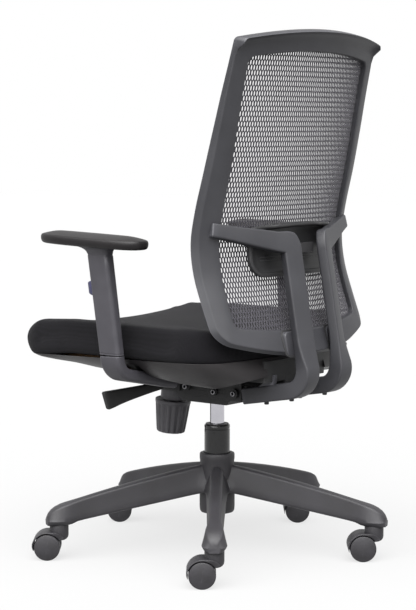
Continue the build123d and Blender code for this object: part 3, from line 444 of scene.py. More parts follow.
def sideLoop(corners, bulges, radii, counts, cornerSteps):
    # Closed flat outline: four bulged sides with rounded corners
    roundness = 0.552
    loop = []
    for i in range(4):
        a = Vector(corners[i])
        b = Vector(corners[(i + 1) % 4])
        run = b - a
        outward = Vector((-run.y, run.x)).normalized() * bulges[i]

        def at(t, a=a, run=run, outward=outward):
            return a + run * t + outward * 4 * t * (1 - t)
        t0 = radii[i] / run.length
        t1 = 1 - radii[(i + 1) % 4] / run.length
        loop += [at(lerp(t0, t1, k / counts[i])) for k in range(counts[i] + 1)]
        nextRun = Vector(corners[(i + 2) % 4]) - b
        nextOut = Vector((-nextRun.y, nextRun.x)).normalized() * bulges[(i + 1) % 4]
        share = radii[(i + 1) % 4] / nextRun.length
        start = at(t1)
        end = b + nextRun * share + nextOut * 4 * share * (1 - share)
        c0 = start.lerp(b, roundness)
        c1 = end.lerp(b, roundness)
        for k in range(1, cornerSteps):
            t = k / cornerSteps
            u = 1 - t
            loop.append(start * u ** 3 + c0 * 3 * u * u * t + c1 * 3 * u * t * t + end * t ** 3)
    return loop


def dropNormals(mesh):
    custom = mesh.attributes.get("custom_normal")
    if custom:
        mesh.attributes.remove(custom)


def easeEdges(obj, width, angle=35):
    addTo(obj, "BEVEL", width=width * mm, segments=2, limit_method="ANGLE", angle_limit=math.radians(angle))
    addTo(obj, "WEIGHTED_NORMAL", keep_sharp=True)


def dress(name, width=0.8, angle=35):
    # Small rounded edges on a carried-over solid
    obj = cadNodes[name]
    dropNormals(obj.data)
    obj.data.shade_smooth()
    addTo(obj, "WELD", merge_threshold=weldDistance)
    easeEdges(obj, width, angle)


def copySolid(name, node, slot):
    mesh = cadNodes[node].data.copy()
    mesh.name = name
    dropNormals(mesh)
    obj = bpy.data.objects.new(name, mesh)
    bpy.context.scene.collection.objects.link(obj)
    mesh.materials.clear()
    mesh.materials.append(materials[slot])
    bm = bmesh.new()
    bm.from_mesh(mesh)
    bmesh.ops.remove_doubles(bm, verts=bm.verts, dist=weldDistance)
    bm.to_mesh(mesh)
    bm.free()
    return obj


def bake(obj):
    graph = bpy.context.evaluated_depsgraph_get()
    mesh = bpy.data.meshes.new_from_object(obj.evaluated_get(graph))
    obj.modifiers.clear()
    obj.data = mesh


# Carried-over solids take the finish of their slot
for part in frame["record"]["subparts"]:
    solid = cadNodes[part["node"]]
    solid.data.materials.clear()
    solid.data.materials.append(materials[part["material_slot"]])
print("stage: carried-over solids painted")

# Camera, floor and light
cameraSpec = dict(place=(2.8363, 2.2457, 0.8246), look=(-0.7774, -0.6218, -0.0953), lens=110.6, sensor=36)
cameraData = bpy.data.cameras.new("camera")
cameraData.lens = cameraSpec["lens"]
cameraData.sensor_width = cameraSpec["sensor"]
camera = bpy.data.objects.new("camera", cameraData)
camera.location = cameraSpec["place"]
camera.rotation_euler = Vector(cameraSpec["look"]).to_track_quat("-Z", "Y").to_euler()
bpy.context.scene.collection.objects.link(camera)
bpy.context.scene.camera = camera
bpy.context.scene.view_settings.view_transform = "Standard"

# Light table: the floor glows a little, so that shadows on it stay faint
floorSpec = dict(half=14.0, colour="#454545", rough=0.95, glow=0.72)
floorMaterial = bpy.data.materials.new("studio_floor")
floorMaterial.use_nodes = True
floorShader = floorMaterial.node_tree.nodes["Principled BSDF"]
floorShader.inputs["Base Color"].default_value = linear(floorSpec["colour"])
floorShader.inputs["Roughness"].default_value = floorSpec["rough"]
floorShader.inputs["Specular IOR Level"].default_value = 0.0
floorShader.inputs["Emission Color"].default_value = (1, 1, 1, 1)
floorShader.inputs["Emission Strength"].default_value = floorSpec["glow"]
floorCorners = [(floorSpec["half"] * x, floorSpec["half"] * y, 0) for x, y in square]
floorMesh = bpy.data.meshes.new("floor")
floorMesh.from_pydata(floorCorners, [], [(0, 1, 2, 3)])
floorMesh.materials.append(floorMaterial)
floor = bpy.data.objects.new("floor", floorMesh)
bpy.context.scene.collection.objects.link(floor)

world = bpy.data.worlds.new("studio")
world.use_nodes = True
world.node_tree.nodes["Background"].inputs["Color"].default_value = (1, 1, 1, 1)
world.node_tree.nodes["Background"].inputs["Strength"].default_value = 1.0
bpy.context.scene.world = world
# Wide soft sources: heading from +X, height and width in degrees
lightSpecs = [
    dict(name="key", heading=62, height=58, spread=70, power=5.8),
    dict(name="fill", heading=8, height=52, spread=80, power=8.8),
]
lampDistance = 3
for spec in lightSpecs:
    light = bpy.data.lights.new(spec["name"], "SUN")
    light.energy = spec["power"]
    light.angle = math.radians(spec["spread"])
    lamp = bpy.data.objects.new(spec["name"], light)
    toward = turned(spec["heading"], "Z") @ turned(-spec["height"], "Y") @ Vector((1, 0, 0))
    lamp.location = toward * lampDistance
    lamp.rotation_euler = toward.to_track_quat("Z", "Y").to_euler()
    bpy.context.scene.collection.objects.link(lamp)
print("stage: camera, floor and light set")

# Back: the surface that the frame, the mesh and the lumbar pad follow
backSpec = dict(
    # height, place of the rear face at the middle
    profile=((430, 230), (498, 206.5), (556, 189.5), (612, 183.5), (668, 190.5), (742, 206.3), (820, 221),
             (880, 231.5), (945, 244)),
    bowAxis=-460.0, edgeAxis=-250.0, edgeShift=14.0)


def bowY(x, z, axis=backSpec["bowAxis"], offset=0.0):
    radius = through(backSpec["profile"], z) + offset - axis
    return axis + math.sqrt(radius * radius - x * x)


def rearY(x, z):
    return min(bowY(x, z), bowY(x, z, backSpec["edgeAxis"], backSpec["edgeShift"]))


frameSpec = dict(
    outer=((-217.5, 980), (217.5, 980), (231, 436), (-231, 436)), outerBulge=(20, 7, 36, 7),
    outerRadius=(6, 6, 26, 26),
    inner=((-185, 945), (185, 945), (189, 462), (-189, 462)), innerBulge=(14, 0, 14, 0),
    innerRadius=(14, 14, 12, 12),
    counts=(30, 44, 30, 44), cornerSteps=8, depth=16.0, edgeDepth=10.0, step=1.6,
    # start and run of the heights over which the wall thins and the lip grows
    wall=9.0, topWall=5.0, wallThins=(720.0, 220.0), lip=18.0, lipGrows=(958.0, 16.0),
    # share of the lip at each distance from the outer edge, and the distances used
    lipShares=((0, 1), (5, 1), (6.4, 0.92), (7.5, 0.72), (9.5, 0.48), (12, 0.3), (16, 0.13), (22, 0.03),
               (30, 0)),
    lipPlaces=(30, 22, 16, 12, 9.5, 8.2),
    # share of the width and mm from the outer edge, share of the lip, face, offset, share of the wall
    inside=((1, 0, 0, "rear", -3.2, 0), (1, -0.5, 0, "rear", -1.5, 0), (1, -1.6, 0, "rear", -0.4, 0),
            (1, -3.4, 0, "rear", 0, 0)),
    outside=((0, 7.2, 0.78, "rear", -0.25, 0), (0, 6.4, 0.92, "rear", -0.9, 0), (0, 5.9, 1, "rear", -2, 0),
             (0, 3.8, 0.8, "rear", 0, 0.5), (0, 1.6, 0.45, "rear", 0, 0.84), (0, 0.3, 0.12, "rear", 0, 1),
             (0, 0.6, 0, "rear", -1.0, 1), (0, 2.0, 0, "rear", -1.6, 1), (0.3, 0, 0, "edge", 0, 0),
             (0.42, 0, 0, "front", 1.5, 0), (0.6, 0, 0, "front", 0, 0), (1, -2.6, 0, "front", 0, 0),
             (1, -0.8, 0, "front", 0.6, 0), (1, 0, 0, "front", 2.4, 0)))


def frameLoop(edge):
    spec = frameSpec
    bulges = spec[edge + "Bulge"]
    radii = spec[edge + "Radius"]
    return sideLoop(spec[edge], bulges, radii, spec["counts"], spec["cornerSteps"])


def buildFrame():
    spec = frameSpec
    lipRows = [(0, d, max(0.0, through(spec["lipShares"], d)), "rear", 0, 0) for d in spec["lipPlaces"]]
    section = [*spec["inside"], *lipRows, *spec["outside"]]
    rings = []
    for o, i in zip(frameLoop("outer"), frameLoop("inner")):
        width = (o - i).length
        lip = spec["lip"] * ramp(o.y, *spec["lipGrows"])
        wall = lerp(spec["wall"], spec["topWall"], ramp(o.y, *spec["wallThins"]))
        ring = []
        for across, added, share, face, offset, wallShare in section:
            p = o.lerp(i, (across * width + added) / width)
            if face == "rear":
                y = rearY(p.x, p.y)
            elif face == "edge":
                y = min(bowY(p.x, p.y) - spec["edgeDepth"], rearY(p.x, p.y) - wall - spec["step"])
            else:
                y = bowY(p.x, p.y) - spec["depth"]
            ring.append((p.x, y + offset - wallShare * wall + lip * share, p.y))
        rings.append(ring)
    return bridge(rings, loop=True)


addPiece("backFrame", buildFrame(), "back", "frame_plastic", "back_frame")
print("stage: back frame built")

# Mesh: a knitted net of staggered upright oval holes
netSpec = dict(
    pitchX=6.25, pitchZ=9.1, hole=(1.62, 4.3), setback=12.2, thickness=1.1, cut=(0.386, 0.522), yarnArea=0.13,
    # middle and half sizes of the opening, how far the net reaches past it, and cells each way
    middle=700.0, half=(190.0, 250.0), tuck=7.0, rows=30, columns=33,
    # half of a cell's upright side as a share of the pitch, and the form of the hole
    side=0.32, spread=(0.5, 0.52), power=(0.7, 0.8),
    # points that round to the same step of 1 / weld mm are one
    weld=50)


def insideLoop(loop, x, z):
    inside = False
    for a, b in zip(loop, loop[1:] + loop[:1]):
        if (a.y > z) != (b.y > z) and x < (b.x - a.x) * (z - a.y) / (b.y - a.y) + a.x:
            inside = not inside
    return inside


def grownLoop(loop, amount):
    centre = Vector((0, netSpec["middle"]))
    growX, growZ = (1 + amount / half for half in netSpec["half"])
    return [centre + Vector(((p - centre).x * growX, (p - centre).y * growZ)) for p in loop]


def buildNet():
    spec = netSpec
    limit = grownLoop(frameLoop("inner"), spec["tuck"])
    px = spec["pitchX"]
    pz = spec["pitchZ"]
    low = spec["side"] * pz
    high = pz - low
    hexagon = [(px / 2, -low), (px / 2, low), (0, high), (-px / 2, low), (-px / 2, -low), (0, -high)]
    border = []
    for a, b in zip(hexagon, hexagon[1:] + hexagon[:1]):
        border.append(a)
        border.append(((a[0] + b[0]) / 2, (a[1] + b[1]) / 2))
    hole = []
    for bx, bz in border:
        angle = math.atan2(bz / (pz * spec["spread"][1]), bx / (px * spec["spread"][0]))
        sides = (math.cos(angle), math.sin(angle))
        hole.append([size * math.copysign(abs(side) ** power, side)
                     for size, side, power in zip(spec["hole"], sides, spec["power"])])
    steps = len(border)
    verts = []
    faces = []
    index = {}

    def vert(x, z):
        key = (round(x * spec["weld"]), round(z * spec["weld"]))
        if key not in index:
            index[key] = len(verts)
            verts.append(Vector((x, bowY(x, z) - spec["setback"], z)) * mm)
        return index[key]
    for row in range(-spec["rows"], spec["rows"] + 1):
        for column in range(-spec["columns"], spec["columns"] + 1):
            cx = (column + 0.5 * (row % 2)) * px
            cz = spec["middle"] + row * pz
            if not insideLoop(limit, cx, cz):
                continue
            ringOut = [vert(cx + bx, cz + bz) for bx, bz in border]
            ringIn = [vert(cx + hx, cz + hz) for hx, hz in hole]
            for k in range(steps):
                n = (k + 1) % steps
                faces.append((ringOut[k], ringOut[n], ringIn[n], ringIn[k]))
    return verts, faces


net = newPiece("backMesh", *buildNet(), "mesh_fabric")
addTo(net, "SOLIDIFY", thickness=netSpec["thickness"] * mm, offset=0.0)
settle(net, "back", "mesh_fabric", "back_mesh")
print("stage: mesh knitted")

# Uprights: a toe under the seat, a heel, a post and an arm to the stile
uprightSpec = dict(
    x=53.0, toe=(117.0, 318.0), heel=(260.5, 343.5), top=(213.0, 607.0), end=(206.0, 149.0, 637.0),
    heelRadius=38.0, bendRadius=20.0, arcSteps=14, runSteps=10, width=38.0, endWidth=26.0, postDepth=19.5,
    toeHeight=31.0, corner=3.8, twist=20.0, squareUp=7.0, squarePower=1.5,
    # shares of the length: start and run of the rise to the post, place and reach of the bend
    rise=(0.26, 0.13), bend=(0.712, 0.035))


def uprightSize(share):
    spec = uprightSpec
    bend, reach = spec["bend"]
    rise = ramp(share, *spec["rise"])
    depth = lerp(spec["toeHeight"], spec["postDepth"], rise)
    width = lerp(spec["width"], spec["endWidth"], ramp(share, bend, 1 - bend))
    extra = spec["squareUp"] * max(0.0, 1 - abs(share - bend) / reach) ** spec["squarePower"]
    return width + extra, depth, spec["corner"], math.radians(spec["twist"]) * rise, -extra / 2


def buildUpright():
    spec = uprightSpec
    corners = [(spec["x"], *spec[place]) for place in ("toe", "heel", "top")] + [spec["end"]]
    radii = (spec["heelRadius"], spec["bendRadius"])
    points = roundedPath(corners, radii, spec["arcSteps"], spec["runSteps"])
    return sweepBar(points, (1, 0, 0), uprightSize)


upright = buildUpright()
addPiece("uprightLeft", upright, "back", "frame_plastic", "back_upright_left")
addPiece("uprightRight", mirrored(upright), "back", "frame_plastic", "back_upright_right")
print("stage: uprights built")

# Lumbar pad: a shell with a raised rim and a shelf along its top, on a cross bar between the uprights
lumbarSpec = dict(
    corners=((-126, 639), (126, 639), (126, 547), (-126, 547)), middle=600.0, arch=7.0,
    radii=(12, 12, 32, 32), leastRadius=2.0, counts=(24, 10, 24, 10), cornerSteps=6,
    # inset, offset from the back's surface, share of the shelf
    section=((38, -4.9, 0), (5, -4.9, 0), (1.5, -4.3, 0), (0, -2.6, 0), (0, 1.4, 0.5), (0.4, 3.2, 0.9),
             (1.8, 4.4, 1), (4.0, 4.8, 1), (6.0, 4.6, 0.9), (7.6, 3.6, 0.5), (8.6, 1.6, 0.15), (10.5, 0.4, 0),
             (20, 0.1, 0), (38, 0.1, 0)),
    # the shelf stays clear of the uprights' arms: where their front starts, its place and its slope
    rim=4.8, shelf=12.0, shelfRise=(622.0, 14.0), armFront=(56.5, 202.0, -0.438), armGap=3.0,
    # the pad slides on a straight guide behind the bowed mesh, and clears it all along its travel
    travel=(-20, -10, 10, 20), clear=9.0, barHalf=9.0,
    # heights of the ribs, places along them, and their section in Y and Z
    ribs=(578, 584), ribPlaces=range(-100, 101, 10),
    ribSection=((-1.0, -1.1), (1.4, -1.1), (1.7, -0.7), (1.7, 0.7), (1.4, 1.1), (-1.0, 1.1)))


def lumbarShelf(x, z):
    spec = lumbarSpec
    start, front, slope = spec["armFront"]
    room = front + slope * max(0.0, abs(x) - start) - spec["armGap"] - bowY(x, z) - spec["rim"]
    return max(0.0, min(spec["shelf"], room)) * ramp(z, *spec["shelfRise"])


def lumbarRing(inset, offset, share):
    spec = lumbarSpec
    corners = []
    for x, z in spec["corners"]:
        corners.append((math.copysign(abs(x) - inset, x), z - inset if z > spec["middle"] else z + inset))
    radii = [max(spec["leastRadius"], r - inset) for r in spec["radii"]]
    ring = []
    for p in sideLoop(corners, (spec["arch"], 0, 0, 0), radii, spec["counts"], spec["cornerSteps"]):
        y = bowY(p.x, p.y) + offset + share * lumbarShelf(p.x, p.y)
        y = max(y, max(bowY(p.x, p.y + slide) for slide in spec["travel"]) - spec["clear"])
        ring.append((p.x, y, p.y))
    return ring


def buildLumbar():
    spec = lumbarSpec
    rings = [lumbarRing(*row) for row in spec["section"]]
    verts, faces = bridge(rings, caps=False)
    size = len(rings[0])
    leftMiddle = size - spec["cornerSteps"] - spec["counts"][3] // 2
    faces += spanned(size, 0, leftMiddle) + spanned(size, len(verts) - size, leftMiddle)
    parts = [(verts, faces)]
    for z in spec["ribs"]:
        rib = []
        for x in spec["ribPlaces"]:
            rib.append([(x, bowY(x, z) + dy, z + dz) for dy, dz in spec["ribSection"]])
        parts.append(bridge(rib))
    return joined(parts)


addPiece("lumbarPad", buildLumbar(), "lumbar", "lumbar_plastic", "lumbar_pad")
print("stage: lumbar pad shaped")

# Arms: a sleeve with a pad on it slides on the post of a bracket
sleeveSpec = dict(
    base=(276.0, -28.0, 405.0), leanOut=4.0, leanFront=5.0, width=25.0, lowWidth=22.0, depth=49.0, corner=8.0,
    leastCorner=0.8, perCorner=6, flareFront=17.0, flareRear=7.0, flareOut=12.0, flareCorner=16.0,
    # height and trim of the rings from the bore round the mouth
    mouth=((70, 3.0), (0.8, 3.0), (0, 2.2), (0, 0.9), (0.8, 0), (2.6, 0), (3.1, 0.7), (3.7, 0.7)),
    shaftLow=4.2, shaftSteps=8, coveLow=183.0, coveFrom=183.6, coveHigh=200.0,
    # share of the cove's height, share of the flare, trim
    cove=((0.0, 0.0, 0.5), (0.06, 0.0, 0.7), (0.25, 0.03, 0), (0.45, 0.12, 0), (0.62, 0.27, 0),
          (0.76, 0.47, 0), (0.88, 0.74, 0), (0.95, 0.95, 0), (1.0, 1.0, 0)))


def sleevePoint(height):
    lean = [math.tan(math.radians(sleeveSpec[way])) for way in ("leanOut", "leanFront")]
    return Vector(sleeveSpec["base"]) + Vector((lean[0], -lean[1], 1)) * height


def sleeveRing(height, trim=0.0, grow=0.0):
    spec = sleeveSpec
    width = lerp(spec["lowWidth"], spec["width"], height / spec["coveLow"])
    width += 2 * spec["flareOut"] * grow - 2 * trim
    depth = spec["depth"] - 2 * trim + (spec["flareFront"] + spec["flareRear"]) * grow
    rearward = (spec["flareRear"] - spec["flareFront"]) / 2 * grow
    corner = max(lerp(spec["corner"], spec["flareCorner"], grow) - trim, spec["leastCorner"])
    outline = roundRect(width, depth, corner, spec["perCorner"])
    return [sleevePoint(height) + Vector((u, v + rearward, 0)) for u, v in outline]


def buildSleeve():
    spec = sleeveSpec
    rings = [sleeveRing(height, trim) for height, trim in spec["mouth"]]
    for k in range(spec["shaftSteps"] + 1):
        rings.append(sleeveRing(lerp(spec["shaftLow"], spec["coveLow"], k / spec["shaftSteps"])))
    for share, grow, trim in spec["cove"]:
        rings.append(sleeveRing(lerp(spec["coveFrom"], spec["coveHigh"], share), trim, grow))
    return bridge(rings)


padSpec = dict(
    x=283.0, y=-65.0, halfWidth=40.0, halfLength=120.5, low=605.0, power=3.0, tilt=1.7, pivot=34.0, steps=72,
    # height, inset
    levels=((0.0, 10.0), (0.5, 6.0), (2.0, 2.6), (5.5, 0.8), (10.0, 0.0), (14.0, 0.3), (16.6, 1.6),
            (17.8, 3.6), (18.4, 6.0), (19.6, 10.0), (21.4, 17.0), (23.2, 26.0), (24.3, 34.0)))


def buildPad():
    spec = padSpec
    slope = math.tan(math.radians(spec["tilt"]))
    rings = []
    for height, inset in spec["levels"]:
        ring = []
        for k in range(spec["steps"]):
            turn = 2 * math.pi * k / spec["steps"]
            ways = (math.cos(turn), math.sin(turn))
            c, s = (math.copysign(abs(way) ** (2 / spec["power"]), way) for way in ways)
            x = c * (spec["halfWidth"] - inset)
            y = s * (spec["halfLength"] - inset)
            z = spec["low"] + height - slope * (y + spec["pivot"])
            ring.append((spec["x"] + x, spec["y"] + y, z))
        rings.append(ring)
    return bridge(rings)


bracketSpec = dict(
    elbow=(275.0, -27.0, 371.0), end=(112.0, -28.0, 338.0), radius=38.0, arcSteps=12, runSteps=5, topDrop=3.2,
    start=(23.0, 48.0), bar=(23.0, 42.0), easeRate=2.5, corner=8.0, endRound=1.0, perCorner=6,
    post=(15.6, 32.8), postCorner=4.5, postShift=4.4,
    # height, trim
    postLevels=((-6, 0), (20, 0), (60, 0), (100, 0), (140, 0), (159, 0), (160, 1)))


def bracketSize(share):
    spec = bracketSpec
    ease = smooth(share * spec["easeRate"])
    width, depth = (lerp(a, b, ease) for a, b in zip(spec["start"], spec["bar"]))
    return width, depth, spec["corner"], 0.0, 0.0


def buildBracket():
    spec = bracketSpec
    corners = [tuple(sleevePoint(-spec["topDrop"])), spec["elbow"], spec["end"]]
    points = roundedPath(corners, (spec["radius"],), spec["arcSteps"], spec["runSteps"])
    bar = sweepBar(points, (1, 0, 0), bracketSize, spec["endRound"], spec["perCorner"])
    rings = []
    for height, trim in spec["postLevels"]:
        centre = sleevePoint(height) + Vector((0, spec["postShift"], 0))
        width, depth = (size - 2 * trim for size in spec["post"])
        section = roundRect(width, depth, spec["postCorner"], spec["perCorner"])
        rings.append([centre + Vector((u, v, 0)) for u, v in section])
    return joined([bar, bridge(rings)])


buttonSpec = dict(
    height=28.0, width=12.0, centre=122.0, corner=5.6, leastCorner=0.3,
    # place along Y, inset
    levels=((-21.8, 0.0), (-25.0, 0.0), (-30.0, 0.4), (-33.5, 1.4), (-36.4, 3.0), (-38.0, 5.2)))


def buildButton():
    spec = buttonSpec
    rings = []
    for y, inset in spec["levels"]:
        corner = max(spec["corner"] - inset, spec["leastCorner"])
        outline = roundRect(spec["width"] - 2 * inset, spec["height"] - 2 * inset, corner)
        rings.append([sleevePoint(spec["centre"] + v) + Vector((u, y, 0)) for u, v in outline])
    return bridge(rings)


for side, flip in (("left", lambda part: part), ("right", mirrored)):
    title = side.capitalize()
    arm = f"arm_{side}"
    button = f"arm_button_{side}"
    addPiece(f"armSleeve{title}", flip(buildSleeve()), arm, "arm_plastic", f"arm_sleeve_{side}")
    pad = newPiece(f"armPad{title}", *flip(buildPad()), "pad_polyurethane")
    addTo(pad, "SUBSURF", levels=1, render_levels=1)
    settle(pad, arm, "pad_polyurethane", f"arm_pad_{side}")
    addPiece(f"armBracket{title}", flip(buildBracket()), "seat", "arm_plastic", f"arm_bracket_{side}")
    addPiece(f"armButton{title}", flip(buildButton()), button, "button_plastic", button)
print("stage: arms built")

# Seat cushion, swollen by cloth pressure from a slightly smaller form
cushionSpec = dict(
    halfWidth=241.5, front=-303.0, rear=159.0, rearBow=26.0, frontBow=5.0, frontRadius=38.0, rearRadius=58.0,
    counts=(36, 36, 36, 36), cornerSteps=8, rim=394.2, edge=458.5,
    # how corners and bows shrink as a ring moves in
    leastRadius=6.0, rearTighten=0.25, frontTighten=0.2, leastShrink=0.35, shrinkRun=260.0,
    # drops toward the front: amount, start and run
    droop=(10.0, 150.0, 120.0), nose=((4.0, 180.0, 70.0), (8.0, 245.0, 45.0)),
    # hollow of the top, and the shares of the height over which it sets in
    dish=19.0, dishHalf=232.0, dishPower=2.4, dishRise=(0.6, 0.4),
    # share of the height from rim to edge, millimetres added, side inset, front inset
    sides=((0, 0, 110, 130), (0, 0, 60, 78), (0, 0, 25, 42), (0, 0, 8, 25), (0, 0.6, 4, 17),
           (0.1, 0, 1.5, 9.5), (0.22, 0, 0.3, 4.2), (0.38, 0, 0, 0.9), (0.52, 0, 0.1, 0), (0.66, 0, 0.7, 2.4),
           (0.78, 0, 1.5, 6.5), (0.88, 0, 2.8, 12.5), (0.95, 0, 5.0, 19.0), (0.985, 0, 8.0, 25.0)),
    # insets of the rings on top, and what the front adds to them
    insets=(13, 20, 30, 44, 62, 84, 108, 134, 160, 186, 208), frontExtra=17.0, frontRun=230.0,
    # the rings underneath are held, and no point moves further than cap
    pinnedRings=5, pressure=4.0, frames=20, cap=3.0)


def frontDrop(y, amount, start, run):
    return amount * ramp(-y, start, run)


def droopAt(y):
    return frontDrop(y, *cushionSpec["droop"])


def edgeAt(y):
    return cushionSpec["edge"] - sum(frontDrop(y, *drop) for drop in cushionSpec["nose"])


def dishAt(x):
    spec = cushionSpec
    return spec["dish"] * (1 - min(1, abs(x) / spec["dishHalf"]) ** spec["dishPower"])


def cushionRing(inset, frontInset):
    spec = cushionSpec
    half = spec["halfWidth"] - inset
    shrink = max(spec["leastShrink"], 1 - inset / spec["shrinkRun"])
    rear = spec["rear"] - inset
    front = spec["front"] + frontInset
    corners = ((-half, rear), (half, rear), (half, front), (-half, front))
    rearRadius = max(spec["leastRadius"], spec["rearRadius"] - inset * spec["rearTighten"]) * shrink
    frontRadius = max(spec["leastRadius"], spec["frontRadius"] - inset * spec["frontTighten"]) * shrink
    bulges = (spec["rearBow"] * shrink, 0, spec["frontBow"] * shrink, 0)
    radii = (rearRadius, rearRadius, frontRadius, frontRadius)
    return sideLoop(corners, bulges, radii, spec["counts"], spec["cornerSteps"])


def swell(cushion, pinned):
    spec = cushionSpec
    rest = [v.co.copy() for v in cushion.data.vertices]
    pin = cushion.vertex_groups.new(name="pin")
    pin.add(list(range(pinned)), 1.0, "REPLACE")
    cloth = cushion.modifiers.new("cloth", "CLOTH")
    cloth.settings.use_pressure = True
    cloth.settings.uniform_pressure_force = spec["pressure"]
    cloth.settings.vertex_group_mass = "pin"
    cloth.settings.effector_weights.gravity = 0
    for number in range(1, spec["frames"] + 1):
        bpy.context.scene.frame_set(number)
    bake(cushion)
    bpy.context.scene.frame_set(1)
    for v, start in zip(cushion.data.vertices, rest):
        step = v.co - start
        v.co = start + step * min(1.0, spec["cap"] * mm / max(step.length, 1e-9))


def buildCushion():
    spec = cushionSpec
    rings = []
    for share, lift, inset, frontInset in spec["sides"]:
        ring = []
        for p in cushionRing(inset, frontInset):
            low = spec["rim"] - droopAt(p.y) + lift
            top = edgeAt(p.y) - dishAt(p.x) * ramp(share, *spec["dishRise"])
            ring.append((p.x, p.y, lerp(low, top, share)))
        rings.append(ring)
    for inset in spec["insets"]:
        loop = cushionRing(inset, inset + spec["frontExtra"] * (1 - inset / spec["frontRun"]))
        rings.append([(p.x, p.y, edgeAt(p.y) - dishAt(p.x)) for p in loop])
    cushion = newPiece("seatCushion", *bridge(rings), "seat_fabric")
    swell(cushion, len(rings[0]) * spec["pinnedRings"])
    cushion.data.shade_smooth()
    addTo(cushion, "SUBSURF", levels=1, render_levels=1)
    return cushion


cushion = buildCushion()
settle(cushion, "seat", "seat_fabric", "seat_cushion")
print("stage: cushion swollen")

# Seat cover and board: the CAD solids, drawn down with the cushion's front
coverSpec = dict(
    # place along Y, share of the depth
    depth=((-300, 0.45), (-200, 0.62), (-150, 0.8), (0, 1.0), (60, 1.16), (110, 1.18), (150, 0.95),
           (185, 0.6)),
    push=0.45, pushRise=(30.0, 90.0), tuck=2.2, tuckDepth=6.0, edge=0.9)
boardSpec = dict(scale=0.95)
cover = copySolid("seatCover", "seat_cover", "cover_plastic")
board = copySolid("seatBoard", "seat_board", "plywood")
for v in board.data.vertices:
    v.co.x *= boardSpec["scale"]
    v.co.y *= boardSpec["scale"]
    v.co.z -= droopAt(v.co.y / mm) * mm
settle(board, "seat", "plywood", "seat_board")
for v in cover.data.vertices:
    y = v.co.y / mm
    depth = max(0.0, cushionSpec["rim"] - v.co.z / mm)
    v.co.y += coverSpec["push"] * depth * ramp(y, *coverSpec["pushRise"]) * mm
    # the rim tucks up against the cushion
    tuck = coverSpec["tuck"] * max(0.0, 1 - depth / coverSpec["tuckDepth"])
    v.co.z -= (droopAt(y) + depth * (through(coverSpec["depth"], y) - 1) - tuck) * mm
cover.data.shade_smooth()
easeEdges(cover, coverSpec["edge"])
settle(cover, "seat", "cover_plastic", "seat_cover")
print("stage: cover shaped")

# Dark panels of the seat pan, round the arm bars and behind the mechanism
panSpec = dict(
    mouth=((118, 352), (163, 356), (212, 378), (228, 391), (118, 391)), mouthY=(-52, -4),
    rear=((92, 354), (160, 351), (186, 351), (188, 391), (92, 391)), rearX=(-96.0, 96.0),
    keel=((146, 334), (186, 331), (187, 360), (146, 360)), keelX=(-30.0, 30.0))
mouth = plate(panSpec["mouth"], "y", *panSpec["mouthY"])
rearPan = plate(panSpec["rear"], "x", *panSpec["rearX"])
keel = plate(panSpec["keel"], "x", *panSpec["keelX"])
addPiece("seatPan", joined([mouth, mirrored(mouth), rearPan, keel]), "seat", "lever_plastic")
# Triangular web on each upright's toe, and two bolt heads under it
webSpec = dict(
    outline=((136, 326), (187, 335), (190, 364), (187, 364)), x=(60, 70.3),
    bolts=((160, 309.0), (218, 320.5)), head=((0.3, -4.2), (3.6, -4.2), (4.5, -3.4), (4.5, 6.0), (0.3, 6.0)))
bolts = [moved(lathe(webSpec["head"], steps=24), shift(uprightSpec["x"], y, z)) for y, z in webSpec["bolts"]]
addPiece("toeWebs", bothSides(plate(webSpec["outline"], "x", *webSpec["x"])), "back", "frame_plastic")
addPiece("toeBolts", bothSides(joined(bolts)), "back", "black_steel")
# The bar behind the lumbar pad fills its CAD box, apart from its height
guideLow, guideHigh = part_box("lumbar_guide")
guideX = guideHigh[0] / mm
guideY = (guideLow[1] / mm, guideHigh[1] / mm)
guideZ = (guideLow[2] + guideHigh[2]) / 2 / mm
barOutline = [(guideX * u, guideZ + lumbarSpec["barHalf"] * v) for u, v in square]
addPiece("lumbarBar", plate(barOutline, "y", *guideY), "back", "black_steel", "lumbar_guide")
print("stage: seat pan closed")

# Star base
baseSpec = dict(
    count=5, first=37.5, stem=316.0, socket=292.5, rootHigh=172.0, tipHigh=104.0, bulge=5.0, tipSlope=0.2,
    # start, run and drop of the rounded tip
    tip=(306.0, 35.0, 22.0),
    # underside, and start and run of its foot and of the shoe round the stem
    rootLow=120.0, endLow=71.0, low=66.0, foot=(284.0, 16.0), shoe=(280.0, 20.0),
    # share of the half width along the leg and in the shoe, height over the underside in the same places
    sill=((0.82, 0.62, 0, 0), (0.94, 0.76, 0.8, 0.8), (0.99, 0.9, 3, 4.5), (1, 1, 6, 9)),
    flank=(0.25, 0.5, 0.75, 0.94), crownShare=0.6, crown=4.2, crownAngles=range(0, 181, 20),
    # reach, half width, half width of the top
    stations=((18, 30, 5), (30, 27, 7), (38, 23, 9.5), (48, 21, 11), (62, 20, 12), (85, 19.2, 12),
              (120, 18.2, 12), (165, 17, 11.8), (210, 15.8, 11.4), (245, 14.8, 11), (268, 14.8, 11.2),
              (282, 16.6, 12.4), (293, 19.6, 14.4), (303, 22.2, 16), (312, 23.3, 16.4), (322, 22.8, 15.4),
              (330, 21, 13.2), (336, 17.8, 10), (340, 12.5, 6)),
    # radius, height
    hub=((25.2, 150), (25.2, 189), (26.2, 190), (31.0, 190), (33.2, 189), (34.2, 186.6), (34.2, 179),
         (33.4, 174), (33.2, 160), (33.6, 140), (34.4, 115), (34.4, 84), (33.6, 76),
         (31.5, 73), (28, 72), (12, 72)),
    washer=((6.5, 62.6), (15.5, 62.6), (16.6, 63.2), (16.6, 65.0), (15.5, 65.8), (6.5, 65.8)))


